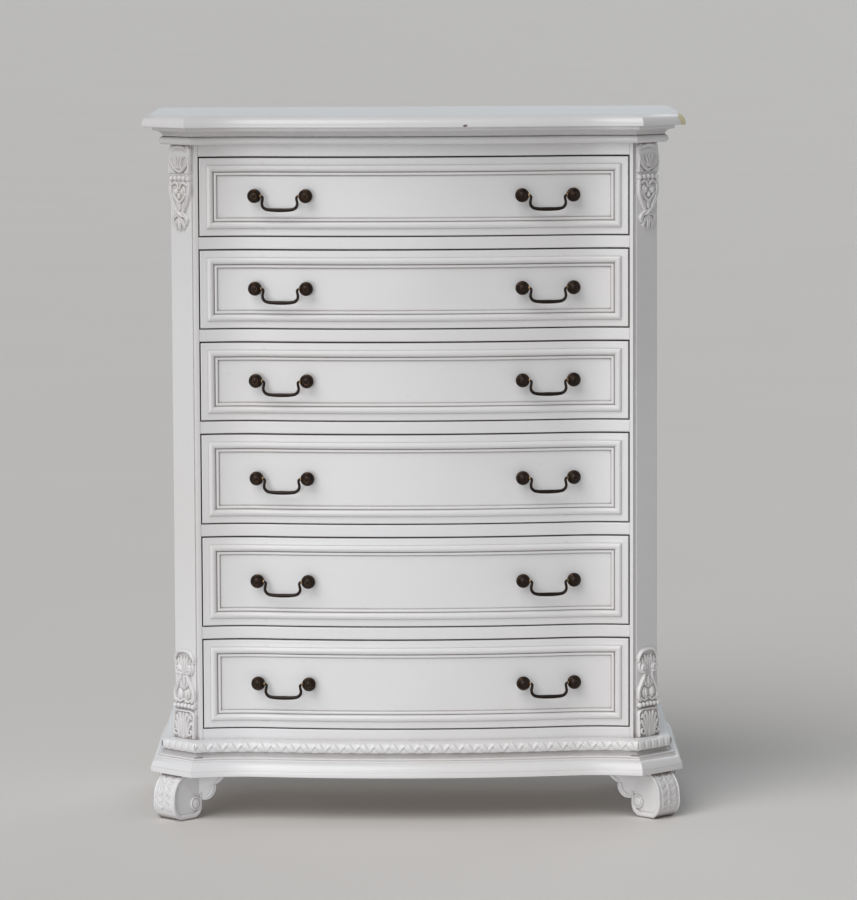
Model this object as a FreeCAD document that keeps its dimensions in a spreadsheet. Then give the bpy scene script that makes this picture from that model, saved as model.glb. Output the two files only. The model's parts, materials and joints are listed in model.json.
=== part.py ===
import FreeCAD, Part
import math
import os
import Sketcher

# A tallboy with six drawers. Lengths are in millimetres.
# X runs to the right, Y to the back and Z up. The floor is at zero, and the
# origin lies at the middle of the width and of the depth.

V = FreeCAD.Vector
UP = V(0, 0, 1)
SLANT = math.sqrt(0.5)
TOUCH = 0.001

SIZES = (
    ("overall_depth", 490, "front of the top's bow to the back"),
    ("case_half", 452, "half the width of the case"),
    ("cant", 46, "how far each corner is cut off, along X and along Y"),
    ("bow_depth", 28, "how far the middle stands ahead of the hollows"),
    ("hollow_radius", 320, "radius of each hollow of the front"),
    ("top_overhang", 52, "top board beyond the case"),
    ("top_thickness", 22, "top board"),
    ("top_round", 19, "rounded upper edge of the top board"),
    ("cornice_reach", 32, "cornice moulding beyond the case"),
    ("cornice_height", 32.5, "cornice moulding"),
    ("ribbon_reach", 27, "ribbon moulding beyond the case"),
    ("ribbon_height", 30, "ribbon moulding with its cove"),
    ("base_reach", 47, "base moulding beyond the case"),
    ("base_height", 34, "base moulding"),
    ("base_inside", 40, "base moulding behind the face of the case"),
    ("foot_height", 85, "floor to the base moulding"),
    ("bottom_rail_height", 50, "rail below the lowest drawer"),
    ("top_rail_height", 54.5, "frieze rail above the first drawer"),
    ("divider_height", 22.5, "rail between two drawers"),
    ("lower_opening", 170, "height of each of the three deeper openings"),
    ("upper_opening", 149, "height of each of the three shallower openings"),
    ("rail_depth", 22, "rails, behind the deepest point of the hollows"),
    ("stile_width", 7, "stile beside the drawer openings"),
    ("quirk_width", 6, "groove between stile and pilaster, along X"),
    ("quirk_depth", 4, "depth of that groove"),
    ("post_return", 14, "corner post along the side"),
    ("panel_thickness", 18, "side panels"),
    ("back_thickness", 6, "back panel"),
    ("bottom_thickness", 12, "bottom board"),
    ("front_gap", 1.2, "gap under and beside a drawer front"),
    ("front_gap_above", 2.4, "gap above a drawer front"),
    ("front_proud", 1.5, "drawer front ahead of the rails"),
    ("border_width", 13, "flat border of a drawer front"),
    ("bead_width", 13, "raised bead round a drawer panel"),
    ("bead_rise", 3.2, "height of that bead over the border"),
    ("slope_width", 7, "sloping step inside the bead"),
    ("panel_sink", 4, "drawer panel below the border"),
    ("box_side", 12, "sides and back of a drawer box"),
    ("box_gap", 2.5, "drawer box inside the stiles"),
    ("box_headroom", 12, "drawer box below the top of its opening"),
    ("box_rear_gap", 14, "drawer box ahead of the back panel"),
    ("tray_thickness", 5, "bottom panel of a drawer"),
    ("tray_groove", 6, "depth of the groove for that panel"),
    ("tray_lift", 10, "bottom panel above the lower edge of the drawer side"),
    ("slide_gap", 0.3, "clearance between a drawer and its runners"),
    ("runner_height", 15, "drawer runner"),
    ("runner_reach", 20, "drawer runner under the drawer box"),
    ("guide_height", 18, "guide strip on a runner"),
    ("guide_gap", 0.8, "guide strip beside the drawer box"),
    ("pull_spacing", 96, "distance between the two posts of a handle"),
    ("pull_rise", 2, "handles above the middle of the drawer front"),
    ("pull_seat", 0.3, "clearance of a post's rosette over the curved panel"),
    ("rosette_radius", 9, "rosette of a post"),
    ("rosette_height", 3, "rosette of a post"),
    ("neck_radius", 4.5, "neck of a post"),
    ("head_radius", 12.6, "round head of a post"),
    ("head_start", 12, "panel to the widest ring of a post's head"),
    ("head_end", 27, "panel to the face of a post's head"),
    ("bail_out", 19, "bail's pivot ahead of the panel"),
    ("bail_drop", 26, "pivot down to the bail's bar"),
    ("bail_half", 31.3, "half the distance between the bail's legs"),
    ("bail_bend", 9, "corner of the bail, cut off in two facets"),
    ("bail_radius", 2, "bail's wire"),
    ("bar_radius", 3.3, "swelling in the middle of the bail's bar"),
    ("pivot_depth", 6, "bail's end inside the post's head"),
    ("pivot_clearance", 0.09, "bail's end in its hole, on the radius"),
    ("pivot_end_gap", 0.5, "bottom of the hole behind the bail's end"),
    ("carving_width", 59, "carvings on the pilasters"),
    ("upper_carving_height", 162, "upper carving"),
    ("upper_carving_depth", 8, "upper carving off the pilaster"),
    ("lower_carving_height", 168, "lower carving"),
    ("lower_carving_depth", 12, "lower carving off the pilaster"),
    ("foot_reach", 62, "front of a foot's scroll ahead of the cant"),
    ("foot_width", 58, "carved band of a foot"),
    ("foot_top_inside", 32, "top of a foot behind the cant"),
    ("rear_foot_set_in", 12, "rear feet further in than the front ones"),
    ("eye_radius", 12, "eye of a foot's scroll"),
    ("eye_rise", 3, "eye of a foot's scroll, off its cheek"),
    ("wing_length", 70, "bracket wing from the foot along the base"),
    ("wing_set_in", 9, "bracket wing behind the face of the case"),
    ("wing_thickness", 16, "bracket wing"),
    ("wing_low", 49, "lowest part of a bracket wing under the base moulding"),
)


class Size:
    """A length that carries both its formula on the sheet and its number."""

    def __init__(self, formula, number):
        self.formula = formula
        self.number = float(number)

    def join(self, other, sign, number):
        return Size("(%s %s %s)" % (self.formula, sign, as_size(other).formula), number)

    def __add__(self, other):
        return self.join(other, "+", self.number + float(other))

    def __radd__(self, other):
        return as_size(other) + self

    def __sub__(self, other):
        return self.join(other, "-", self.number - float(other))

    def __rsub__(self, other):
        return as_size(other) - self

    def __mul__(self, other):
        return self.join(other, "*", self.number * float(other))

    def __rmul__(self, other):
        return as_size(other) * self

    def __truediv__(self, other):
        return self.join(other, "/", self.number / float(other))

    def __neg__(self):
        return 0 - self

    def __float__(self):
        return self.number


def as_size(value):
    return value if isinstance(value, Size) else Size(repr(value), value)


def root(size):
    return Size("sqrt(%s)" % size.formula, math.sqrt(size.number))


doc = FreeCAD.newDocument("tallboy")


def make_sheet():
    """Writes the driving sizes on the sheet and gives each one by its name."""
    sheet = doc.addObject("Spreadsheet::Sheet", "sizes")
    named = {}
    for row, (name, number, meaning) in enumerate(SIZES, start=1):
        sheet.set("A%d" % row, name)
        sheet.set("B%d" % row, str(number))
        sheet.set("C%d" % row, meaning)
        sheet.setAlias("B%d" % row, name)
    doc.recompute()
    for name, number, meaning in SIZES:
        named[name] = Size("sizes." + name, sheet.get(name))
    return named


S = make_sheet()

# Levels, from the floor up

BASE_TOP = S["foot_height"] + S["base_height"]
RIBBON_TOP = BASE_TOP + S["ribbon_height"]
FIRST_OPENING = BASE_TOP + S["bottom_rail_height"]


def opening_levels():
    """Bottom and height of each drawer opening, from the top drawer down."""
    levels = []
    bottom = FIRST_OPENING
    for height in [S["lower_opening"]] * 3 + [S["upper_opening"]] * 3:
        levels.append((bottom, height))
        bottom = bottom + height + S["divider_height"]
    levels.reverse()
    return levels


OPENINGS = opening_levels()
FRIEZE_BOTTOM = OPENINGS[0][0] + OPENINGS[0][1]
CASE_TOP = FRIEZE_BOTTOM + S["top_rail_height"]
CORNICE_BOTTOM = CASE_TOP - S["cornice_height"]

# The front line of the case in plan: one wide bow between two hollows

HOLLOW_SHARE = 0.8128
BACK = S["overall_depth"] / 2
BOW_FRONT = S["top_overhang"] - BACK
HOLLOW_BACK = BOW_FRONT + S["bow_depth"]
CORNER_X = S["case_half"] - S["cant"]
HOLLOW_X = CORNER_X * HOLLOW_SHARE
RADII_SUM = (HOLLOW_X * HOLLOW_X + S["bow_depth"] * S["bow_depth"]) / (2 * S["bow_depth"])
BOW_RADIUS = RADII_SUM - S["hollow_radius"]
BOW_CENTRE = BOW_FRONT + BOW_RADIUS
HOLLOW_CENTRE = HOLLOW_BACK - S["hollow_radius"]
OPENING_HALF = CORNER_X - S["stile_width"]
RAIL_BACK = HOLLOW_BACK + S["rail_depth"]


def hollow_y(x, out=0):
    """Y of the front line in the right hollow, moved out by a distance."""
    radius = S["hollow_radius"] - out
    aside = x - HOLLOW_X
    return HOLLOW_CENTRE + root(radius * radius - aside * aside)


def bow_y(x, out=0):
    radius = BOW_RADIUS + out
    return BOW_CENTRE - root(radius * radius - x * x)


CORNER_Y = hollow_y(CORNER_X)
SIDE_Y = CORNER_Y + S["cant"]
POST_BACK = SIDE_Y + S["post_return"]
PANEL_INSIDE = S["case_half"] - S["panel_thickness"]

# Outward directions, in plan, of the front line at its end, of the cant and of the side

FRONT_OUT = (
    (HOLLOW_X - CORNER_X) / S["hollow_radius"],
    (HOLLOW_CENTRE - CORNER_Y) / S["hollow_radius"],
)
CANT_OUT = (as_size(SLANT), as_size(-SLANT))
SIDE_OUT = (as_size(1), as_size(0))


def mitre_point(corner, first, second, out):
    """Where two neighbouring lines meet when both are moved out alike."""
    spread = 1 + first[0] * second[0] + first[1] * second[1]
    x = corner[0] + (first[0] + second[0]) * out / spread
    y = corner[1] + (first[1] + second[1]) * out / spread
    return (x, y)


# Sketches and bodies


def new_body(label):
    body = doc.addObject("PartDesign::Body", label)
    body.Label = label
    return body


def sketch_on(body, role, lift):
    """A sketch on one of the body's own planes, lifted along the plane's normal."""
    sketch = body.newObject("Sketcher::SketchObject", body.Label + "_outline")
    plane = [item for item in body.Origin.OriginFeatures if item.Role == role][0]
    sketch.AttachmentSupport = (plane, [""])
    sketch.MapMode = "FlatFace"
    sketch.setExpression("AttachmentOffset.Base.z", as_size(lift).formula)
    return sketch


def hold(sketch, kind, item, end, size, name):
    """A named distance from the sketch's origin, bound to its formula."""
    index = sketch.addConstraint(Sketcher.Constraint(kind, -1, 1, item, end, float(size)))
    sketch.renameConstraint(index, name)
    sketch.setExpression("Constraints." + name, as_size(size).formula)


def trace(sketch, corners, centres=None, free=()):
    """Closes a loop through the corners. Centres turn a side into an arc.

    The second coordinate of a free corner follows from its arc.
    """
    centres = centres or {}
    count = len(corners)
    ends = []
    for side in range(count):
        here = corners[side]
        there = corners[(side + 1) % count]
        start = V(float(here[0]), float(here[1]), 0)
        finish = V(float(there[0]), float(there[1]), 0)
        if side not in centres:
            item = sketch.addGeometry(Part.LineSegment(start, finish), False)
            ends.append((item, 1, 2))
            continue
        centre = V(float(centres[side][0]), float(centres[side][1]), 0)
        circle = Part.Circle(centre, UP, (start - centre).Length)
        first = math.atan2(start.y - centre.y, start.x - centre.x)
        last = math.atan2(finish.y - centre.y, finish.x - centre.x)
        forward = (last - first) % math.tau < math.pi
        angles = (first, last) if forward else (last, first)
        item = sketch.addGeometry(Part.ArcOfCircle(circle, *angles), False)
        ends.append((item, 1, 2) if forward else (item, 2, 1))
        hold(sketch, "DistanceX", item, 3, centres[side][0], "centre_x%d" % side)
        hold(sketch, "DistanceY", item, 3, centres[side][1], "centre_y%d" % side)
    for side, (item, start, finish) in enumerate(ends):
        following = ends[(side + 1) % count]
        sketch.addConstraint(Sketcher.Constraint("Coincident", item, finish, following[0], following[1]))
        hold(sketch, "DistanceX", item, start, corners[side][0], "x%d" % side)
        if side not in free:
            hold(sketch, "DistanceY", item, start, corners[side][1], "y%d" % side)


def pad(body, sketch, length):
    feature = body.newObject("PartDesign::Pad", body.Label + "_pad")
    feature.Profile = sketch
    feature.setExpression("Length", as_size(length).formula)
    return feature


def prism(label, role, lift, length, corners, centres=None, free=()):
    """A body padded from one closed outline."""
    body = new_body(label)
    sketch = sketch_on(body, role, lift)
    trace(sketch, corners, centres, free)
    pad(body, sketch, length)
    return body


def group(label, members):
    """One node that holds several separate pieces."""
    node = doc.addObject("Part::Compound", label)
    node.Label = label
    node.Links = members
    return node


def feature(label, shape):
    node = doc.addObject("Part::Feature", label)
    node.Label = label
    node.Shape = shape
    node.Placement = FreeCAD.Placement()
    return node


def rectangle(x_low, x_high, y_low, y_high):
    return [(x_low, y_low), (x_high, y_low), (x_high, y_high), (x_low, y_high)]


def serpentine_corners(half, out):
    """Corners and arc centres of the front line, from right to left."""
    turn_x = HOLLOW_X * (BOW_RADIUS + out) / RADII_SUM
    turn_y = bow_y(turn_x, out)
    end_y = hollow_y(half, out)
    corners = [(half, end_y), (turn_x, turn_y), (-turn_x, turn_y), (-half, end_y)]
    right = (HOLLOW_X, HOLLOW_CENTRE)
    left = (-HOLLOW_X, HOLLOW_CENTRE)
    return corners, [right, (as_size(0), BOW_CENTRE), left]


def serpentine_rail(label, bottom, height):
    """A rail between the stiles, shaped in front and flat behind."""
    corners, centres = serpentine_corners(OPENING_HALF, 0)
    outline = corners + [(-OPENING_HALF, RAIL_BACK), (OPENING_HALF, RAIL_BACK)]
    return prism(label, "XY_Plane", bottom, height, outline, dict(enumerate(centres)), (1, 2, 3))


# The case


def make_top_board():
    """The top follows the case's plan, and its upper edge is a wide round."""
    out = S["top_overhang"]
    corners, centres = serpentine_corners(CORNER_X + FRONT_OUT[0] * out, out)
    front_corner = mitre_point((CORNER_X, CORNER_Y), FRONT_OUT, CANT_OUT, out)
    side_corner = mitre_point((S["case_half"], SIDE_Y), CANT_OUT, SIDE_OUT, out)
    outer = S["case_half"] + out
    right = [(outer, BACK), side_corner, front_corner]
    left = [(-x, y) for x, y in reversed(right)]
    body = new_body("top_board")
    sketch = sketch_on(body, "XY_Plane", CASE_TOP)
    arcs = {3: centres[0], 4: centres[1], 5: centres[2]}
    trace(sketch, right + corners + left, arcs, (4, 5, 6))
    board = pad(body, sketch, S["top_thickness"])
    doc.recompute()
    level = float(CASE_TOP + S["top_thickness"])
    edges = []
    for number, edge in enumerate(board.Shape.Edges, start=1):
        box = edge.BoundBox
        on_top = abs(box.ZMin - level) < TOUCH and abs(box.ZMax - level) < TOUCH
        at_back = abs(box.YMin - float(BACK)) < TOUCH
        if on_top and not at_back:
            edges.append("Edge%d" % number)
    fillet = body.newObject("PartDesign::Fillet", "top_board_round")
    fillet.Base = (board, edges)
    fillet.setExpression("Radius", S["top_round"].formula)
    body.Tip = fillet
    return body


def make_rails():
    """The frieze rail, the bottom rail and the five dividers."""
    nodes = [
        serpentine_rail("frieze_rail", FRIEZE_BOTTOM, S["top_rail_height"]),
        serpentine_rail("bottom_rail", BASE_TOP, S["bottom_rail_height"]),
    ]
    dividers = []
    for number, (bottom, height) in enumerate(OPENINGS[1:], start=1):
        level = bottom + height
        dividers.append(serpentine_rail("divider_rail_%d" % number, level, S["divider_height"]))
    nodes.append(group("divider_rails", dividers))
    return nodes


def make_side(name, sign):
    """Stile, corner pilaster and side panel of one side."""
    full = CASE_TOP - BASE_TOP
    edge_y = hollow_y(OPENING_HALF)
    stile = [(OPENING_HALF, edge_y), (CORNER_X, CORNER_Y), (CORNER_X, RAIL_BACK), (OPENING_HALF, RAIL_BACK)]
    quirk = S["quirk_width"]
    sunk = S["quirk_depth"] * SLANT
    pilaster = [
        (CORNER_X, CORNER_Y + 2 * sunk),
        (CORNER_X + quirk - sunk, CORNER_Y + quirk + sunk),
        (CORNER_X + quirk, CORNER_Y + quirk),
        (S["case_half"], SIDE_Y),
        (S["case_half"], POST_BACK),
        (PANEL_INSIDE, POST_BACK),
        (CORNER_X, RAIL_BACK),
    ]
    panel = rectangle(PANEL_INSIDE, S["case_half"], POST_BACK, BACK)
    nodes = []
    for label, outline in (("stile_", stile), ("pilaster_", pilaster), ("side_panel_", panel)):
        placed = [(x * sign, y) for x, y in outline]
        nodes.append(prism(label + name, "XY_Plane", BASE_TOP, full, placed))
    return nodes


def make_back_and_bottom():
    inside = PANEL_INSIDE
    back = rectangle(-inside, inside, BACK - S["back_thickness"], BACK)
    rear = BACK - S["back_thickness"]
    floor = [
        (-CORNER_X, RAIL_BACK), (CORNER_X, RAIL_BACK), (inside, POST_BACK),
        (inside, rear), (-inside, rear), (-inside, POST_BACK),
    ]
    return [
        prism("back_panel", "XY_Plane", BASE_TOP, CASE_TOP - BASE_TOP, back),
        prism("bottom_board", "XY_Plane", BASE_TOP, S["bottom_thickness"], floor),
    ]


BOX_HALF = OPENING_HALF - S["box_gap"]
RUNNER_BACK = BACK - S["back_thickness"]


def make_runners():
    """A runner with a guide strip on it at each side, level with the rail below a drawer."""
    strips = []
    for number, (bottom, height) in enumerate(OPENINGS, start=1):
        for name, sign in (("left", -1), ("right", 1)):
            outer = PANEL_INSIDE * sign
            inner = (BOX_HALF - S["runner_reach"]) * sign
            beside_box = (BOX_HALF + S["guide_gap"]) * sign
            under = rectangle(inner, outer, bottom - S["runner_height"], bottom)
            beside = rectangle(beside_box, outer, bottom, bottom + S["guide_height"])
            for kind, outline in (("runner", under), ("guide", beside)):
                label = "%s_%d_%s" % (kind, number, name)
                strips.append(prism(label, "XZ_Plane", -RUNNER_BACK, RUNNER_BACK - POST_BACK, outline))
    return [group("drawer_runners", strips)]


# Mouldings. A profile is a list of shares of its reach and its height. A step
# "to" is a straight side, and a step "by" is the middle of an arc to the next.

CORNICE_SHARES = (
    ("to", 0.39, 0.0), ("to", 0.59, 0.10), ("to", 0.59, 0.34), ("to", 0.39, 0.44), ("to", 0.44, 0.52),
    ("to", 0.51, 0.65), ("to", 0.67, 0.73), ("to", 0.94, 0.76), ("to", 1.0, 0.76), ("to", 1.0, 1.0),
    ("to", 0.0, 1.0),
)
RIBBON_SHARES = (
    ("to", 0.85, 0.0), ("to", 0.72, 0.12), ("to", 0.67, 0.28), ("to", 0.96, 0.28),
    ("to", 1.0, 0.50), ("to", 0.90, 0.88), ("to", 0.60, 1.0), ("to", 0.0, 1.0),
)
BASE_SHARES = (
    ("to", 1.0, 0.0), ("to", 1.0, 0.42), ("by", 0.94, 0.67), ("to", 0.74, 0.84),
    ("to", 0.74, 0.89), ("to", 0.66, 0.89), ("to", 0.66, 1.0),
)


def profile_points(shares, reach, height):
    """The profile's steps as distances out and up."""
    return [(kind, out * float(reach), up * float(height)) for kind, out, up in shares]


def profile_face(start, steps, place):
    """A closed face through the steps. Place turns (out, up) into a point."""
    first = place(*start)
    here = first
    through = None
    edges = []
    for kind, out, up in steps:
        point = place(out, up)
        if kind == "by":
            through = point
            continue
        if through is None:
            edges.append(Part.LineSegment(here, point).toShape())
        else:
            edges.append(Part.Arc(here, through, point).toShape())
        through = None
        here = point
    if (here - first).Length > TOUCH:
        edges.append(Part.LineSegment(here, first).toShape())
    return Part.Face(Part.Wire(edges))


def plan_vector(pair):
    return V(float(pair[0]), float(pair[1]), 0)


def sector(points, bottom, top):
    """An upright block over a closed plan polygon, to cut a mitre with."""
    lifted = [V(point.x, point.y, bottom) for point in points]
    face = Part.Face(Part.makePolygon(lifted + [lifted[0]]))
    return face.extrude(V(0, 0, top - bottom))


def straight_run(start, steps, level, base, outward, direction, length):
    """The profile drawn along a straight line."""
    face = profile_face(start, steps, lambda out, up: base + outward * out + V(0, 0, level + up))
    return face.extrude(direction * length)


def turned_run(start, steps, level, centre, base, outward, degrees):
    """The profile turned about the centre of one arc of the front line."""
    face = profile_face(start, steps, lambda out, up: base + outward * out + V(0, 0, level + up))
    return face.revolve(centre, UP, degrees)


def front_run(start, steps, level, half, spare):
    """The profile drawn along the serpentine front, to each side by half."""
    turn_x, turn_y = serpentine_corners(HOLLOW_X, 0)[0][1]
    bow_centre = V(0, float(BOW_CENTRE), 0)
    turn = plan_vector((turn_x, turn_y))
    bow_angle = 2 * math.degrees(math.asin(turn.x / float(BOW_RADIUS)))
    left_turn = V(-turn.x, turn.y, 0)
    outward = (left_turn - bow_centre).normalize()
    pieces = [turned_run(start, steps, level, bow_centre, left_turn, outward, bow_angle)]
    for sign in (-1, 1):
        centre = V(sign * float(HOLLOW_X), float(HOLLOW_CENTRE), 0)
        end = V(sign * float(half), float(hollow_y(half)), 0)
        inner = V(sign * turn.x, turn.y, 0)
        to_end = (centre - end).normalize()
        to_inner = (centre - inner).normalize()
        sweep = math.degrees(to_inner.getAngle(to_end))
        pieces.append(turned_run(start, steps, level, centre, inner, to_inner, -sign * sweep))
        if spare:
            along = V(-sign * to_end.y, sign * to_end.x, 0)
            pieces.append(straight_run(start, steps, level, end, to_end, along, spare))
    return pieces[0].fuse(pieces[1:]).removeSplitter()


def moulding(label, shares, reach, height, level, inside=0):
    """Five mitred lengths: the front, two cants and two sides."""
    steps = profile_points(shares, reach, height)
    start = (-float(inside), 0.0)
    if float(inside):
        steps = steps + [("to", -float(inside), float(height))]
    far = 2 * float(reach) + float(inside)
    top = float(level) + float(height)
    low = float(level)
    corner = plan_vector((CORNER_X, CORNER_Y))
    side = plan_vector((S["case_half"], SIDE_Y))
    back = plan_vector((S["case_half"], BACK))
    front_out = plan_vector(FRONT_OUT)
    cant_out = V(SLANT, -SLANT, 0)
    side_out = V(1, 0, 0)
    front_mitre = (front_out + cant_out).normalize()
    side_mitre = (cant_out + side_out).normalize()
    corner_in = plan_vector(mitre_point((CORNER_X, CORNER_Y), FRONT_OUT, CANT_OUT, -as_size(inside)))
    side_in = plan_vector(mitre_point((S["case_half"], SIDE_Y), CANT_OUT, SIDE_OUT, -as_size(inside)))
    corner_out = corner + front_mitre * far
    side_far = side + side_mitre * far
    right = [corner_in, corner_out]
    left = [V(-point.x, point.y, 0) for point in reversed(right)]
    whole_front = front_run(start, steps, low, CORNER_X, far)
    solids = [whole_front.common(sector(right + left, low, top))]
    along_cant = V(SLANT, SLANT, 0)
    cant_length = (side - corner).Length + 2 * far
    cant = straight_run(start, steps, low, corner - along_cant * far, cant_out, along_cant, cant_length)
    solids_right = [cant.common(sector([corner_out, side_far, side_in, corner_in], low, top))]
    side_length = (back - side).Length + far
    run = straight_run(start, steps, low, side - V(0, far, 0), side_out, V(0, 1, 0), side_length)
    plan = [side_in, side_far, back + V(far, 0, 0), back - V(float(inside), 0, 0)]
    solids_right.append(run.common(sector(plan, low, top)))
    for solid in solids_right:
        solids.append(solid)
        solids.append(solid.mirror(V(0, 0, 0), V(1, 0, 0)))
    return feature(label, Part.makeCompound(solids))


def make_mouldings():
    """The cornice under the top, the ribbon moulding and the base under it."""
    nodes = []
    for name, shares, level, inside in (
        ("cornice", CORNICE_SHARES, CORNICE_BOTTOM, 0),
        ("ribbon", RIBBON_SHARES, BASE_TOP, 0),
        ("base", BASE_SHARES, S["foot_height"], S["base_inside"]),
    ):
        reach = S[name + "_reach"]
        nodes.append(moulding(name + "_moulding", shares, reach, S[name + "_height"], level, inside))
    return nodes


# Carvings on the pilasters, as their main forms

UPPER_OUTLINE_SHARES = (
    ("to", 0.5, 1.0), ("to", 0.5, 0.86), ("to", 0.46, 0.82), ("to", 0.36, 0.80),
    ("to", 0.48, 0.72), ("to", 0.40, 0.60), ("to", 0.26, 0.48), ("to", 0.24, 0.30),
    ("to", 0.22, 0.12), ("to", 0.0, 0.0),
)
UPPER_DEPTH_SHARES = (
    ("to", 1.0, 1.0), ("to", 1.0, 0.84), ("to", 0.7, 0.80), ("to", 0.9, 0.68),
    ("to", 0.5, 0.36), ("to", 0.3, 0.0),
)
LOWER_OUTLINE_SHARES = (
    ("to", 0.22, 1.0), ("to", 0.38, 0.96), ("to", 0.36, 0.86), ("to", 0.26, 0.80),
    ("to", 0.34, 0.60), ("to", 0.5, 0.50), ("to", 0.5, 0.0), ("to", 0.0, 0.0),
)
LOWER_DEPTH_SHARES = (
    ("to", 0.45, 1.0), ("to", 0.6, 0.86), ("to", 0.5, 0.78), ("to", 1.0, 0.52), ("to", 0.7, 0.40),
    ("to", 0.75, 0.16), ("to", 1.0, 0.0),
)


def make_carving(name, sign, level, height, depth, outline, profile):
    """The carving is where its front outline and its side profile cross."""
    width = float(S["carving_width"])
    tall = float(height)
    inset = (S["cant"] + S["quirk_width"]) / 2
    middle = plan_vector((CORNER_X + inset, CORNER_Y + inset))
    base = V(middle.x, middle.y, float(level))
    along = V(SLANT, SLANT, 0)
    outward = V(SLANT, -SLANT, 0)
    halves = []
    for side in (-1, 1):
        steps = profile_points(outline, side * width, tall)
        face = profile_face((0.0, tall), steps, lambda across, up, s=side: base + along * across + UP * up)
        halves.append(face.extrude(outward * float(depth)))
    front = halves[0].fuse(halves[1]).removeSplitter()
    steps = profile_points(profile, depth, tall) + [("to", 0.0, 0.0)]
    aside = base - along * width
    cut = profile_face((0.0, tall), steps, lambda out, up: aside + outward * out + UP * up)
    shape = front.common(cut.extrude(along * (2 * width)))
    if sign < 0:
        shape = shape.mirror(V(0, 0, 0), V(1, 0, 0))
    return feature(name, shape)


def make_carvings():
    nodes = []
    for name, sign in (("left", -1), ("right", 1)):
        tall = S["upper_carving_height"]
        nodes.append(make_carving("upper_carving_" + name, sign, CORNICE_BOTTOM - tall, tall,
                                  S["upper_carving_depth"], UPPER_OUTLINE_SHARES, UPPER_DEPTH_SHARES))
        tall = S["lower_carving_height"]
        nodes.append(make_carving("lower_carving_" + name, sign, RIBBON_TOP, tall,
                                  S["lower_carving_depth"], LOWER_OUTLINE_SHARES, LOWER_DEPTH_SHARES))
    return nodes


# Feet. Shares of the reach ahead of the cant and of the foot's height.

SCROLL_SHARES = (
    ("to", 0.80, 0.88), ("to", 0.92, 0.74), ("to", 0.98, 0.60), ("to", 1.0, 0.44), ("to", 0.99, 0.28),
    ("to", 0.95, 0.12), ("to", 0.88, 0.03), ("to", 0.80, 0.0), ("to", 0.12, 0.0), ("to", -0.02, 0.04),
    ("to", -0.12, 0.14), ("to", -0.17, 0.30), ("to", -0.12, 0.50), ("to", 0.02, 0.60),
)
SCROLL_TOP_SHARE = 0.60
EYE_OUT_SHARE = 0.13
EYE_UP_SHARE = 0.335
WING_SHARES = (
    ("to", 0.0, 0.02), ("to", 0.50, 0.0), ("to", 0.60, 0.045), ("to", 0.70, 0.17), ("to", 0.757, 0.39),
    ("to", 0.743, 0.587), ("to", 0.82, 0.70), ("to", 0.93, 0.83), ("to", 1.0, 1.0), ("to", 0.0, 1.0),
)


def make_scroll():
    """One scroll foot, pointing along X, with its thickness across Y."""
    reach = float(S["foot_reach"])
    tall = float(S["foot_height"])
    half = float(S["foot_width"]) / 2
    inside = -float(S["foot_top_inside"])
    steps = profile_points(SCROLL_SHARES, reach, tall)
    steps = steps + [("to", inside, tall)]
    face = profile_face((SCROLL_TOP_SHARE * reach, tall), steps, lambda out, up: V(out, -half, up))
    body = face.extrude(V(0, 2 * half, 0))
    rise = float(S["eye_rise"])
    centre = V(EYE_OUT_SHARE * reach, -half - rise, EYE_UP_SHARE * tall)
    eye = Part.makeCylinder(float(S["eye_radius"]), 2 * (half + rise), centre, V(0, 1, 0))
    return body.fuse(eye).removeSplitter()


def make_wing(start, along, outward):
    """A scalloped bracket that runs from the foot along the base."""
    drop = float(S["wing_low"])
    foot = start + V(0, 0, float(S["foot_height"]) - drop)
    steps = profile_points(WING_SHARES, S["wing_length"], drop)
    face = profile_face((0.0, drop), steps, lambda out, up: foot + along * out + UP * up)
    return face.extrude(outward * -float(S["wing_thickness"]))


def make_feet():
    middle = plan_vector(((CORNER_X + S["case_half"]) / 2, (CORNER_Y + SIDE_Y) / 2))
    front = make_scroll()
    front.rotate(V(0, 0, 0), UP, -45)
    front.translate(middle)
    wing_start = V(middle.x, float(CORNER_Y + S["wing_set_in"]), 0)
    front_wing = make_wing(wing_start, V(-1, 0, 0), V(0, -1, 0))
    wing_side = float(S["case_half"] - S["wing_set_in"])
    side_start = V(wing_side, middle.y, 0)
    side_wing = make_wing(side_start, V(0, 1, 0), V(1, 0, 0))
    front = front.fuse([front_wing, side_wing]).removeSplitter()
    rear_x = S["case_half"] - S["rear_foot_set_in"]
    rear_place = V(float(rear_x), float(BACK - S["foot_width"] / 2 - S["eye_rise"]), 0)
    rear = make_scroll()
    rear.translate(rear_place)
    rear_wing = make_wing(V(wing_side, rear_place.y, 0), V(0, -1, 0), V(1, 0, 0))
    rear = rear.fuse(rear_wing).removeSplitter()
    nodes = []
    for name, shape in (("foot_front", front), ("foot_rear", rear)):
        nodes.append(feature(name + "_right", shape))
        nodes.append(feature(name + "_left", shape.mirror(V(0, 0, 0), V(1, 0, 0))))
    return nodes


# Drawers

FACE_OUT = S["front_proud"]
PANEL_OUT = S["front_proud"] - S["panel_sink"]
FRONT_HALF = OPENING_HALF - S["front_gap"]
PULL_SHARE = 0.614
PULL_X = OPENING_HALF * PULL_SHARE


def line_y(x, out):
    """Y of the front line at any x, as a number."""
    aside = abs(float(x))
    turn_x = float(serpentine_corners(HOLLOW_X, out)[0][1][0])
    return float(bow_y(as_size(aside), out) if aside < turn_x else hollow_y(as_size(aside), out))


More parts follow.
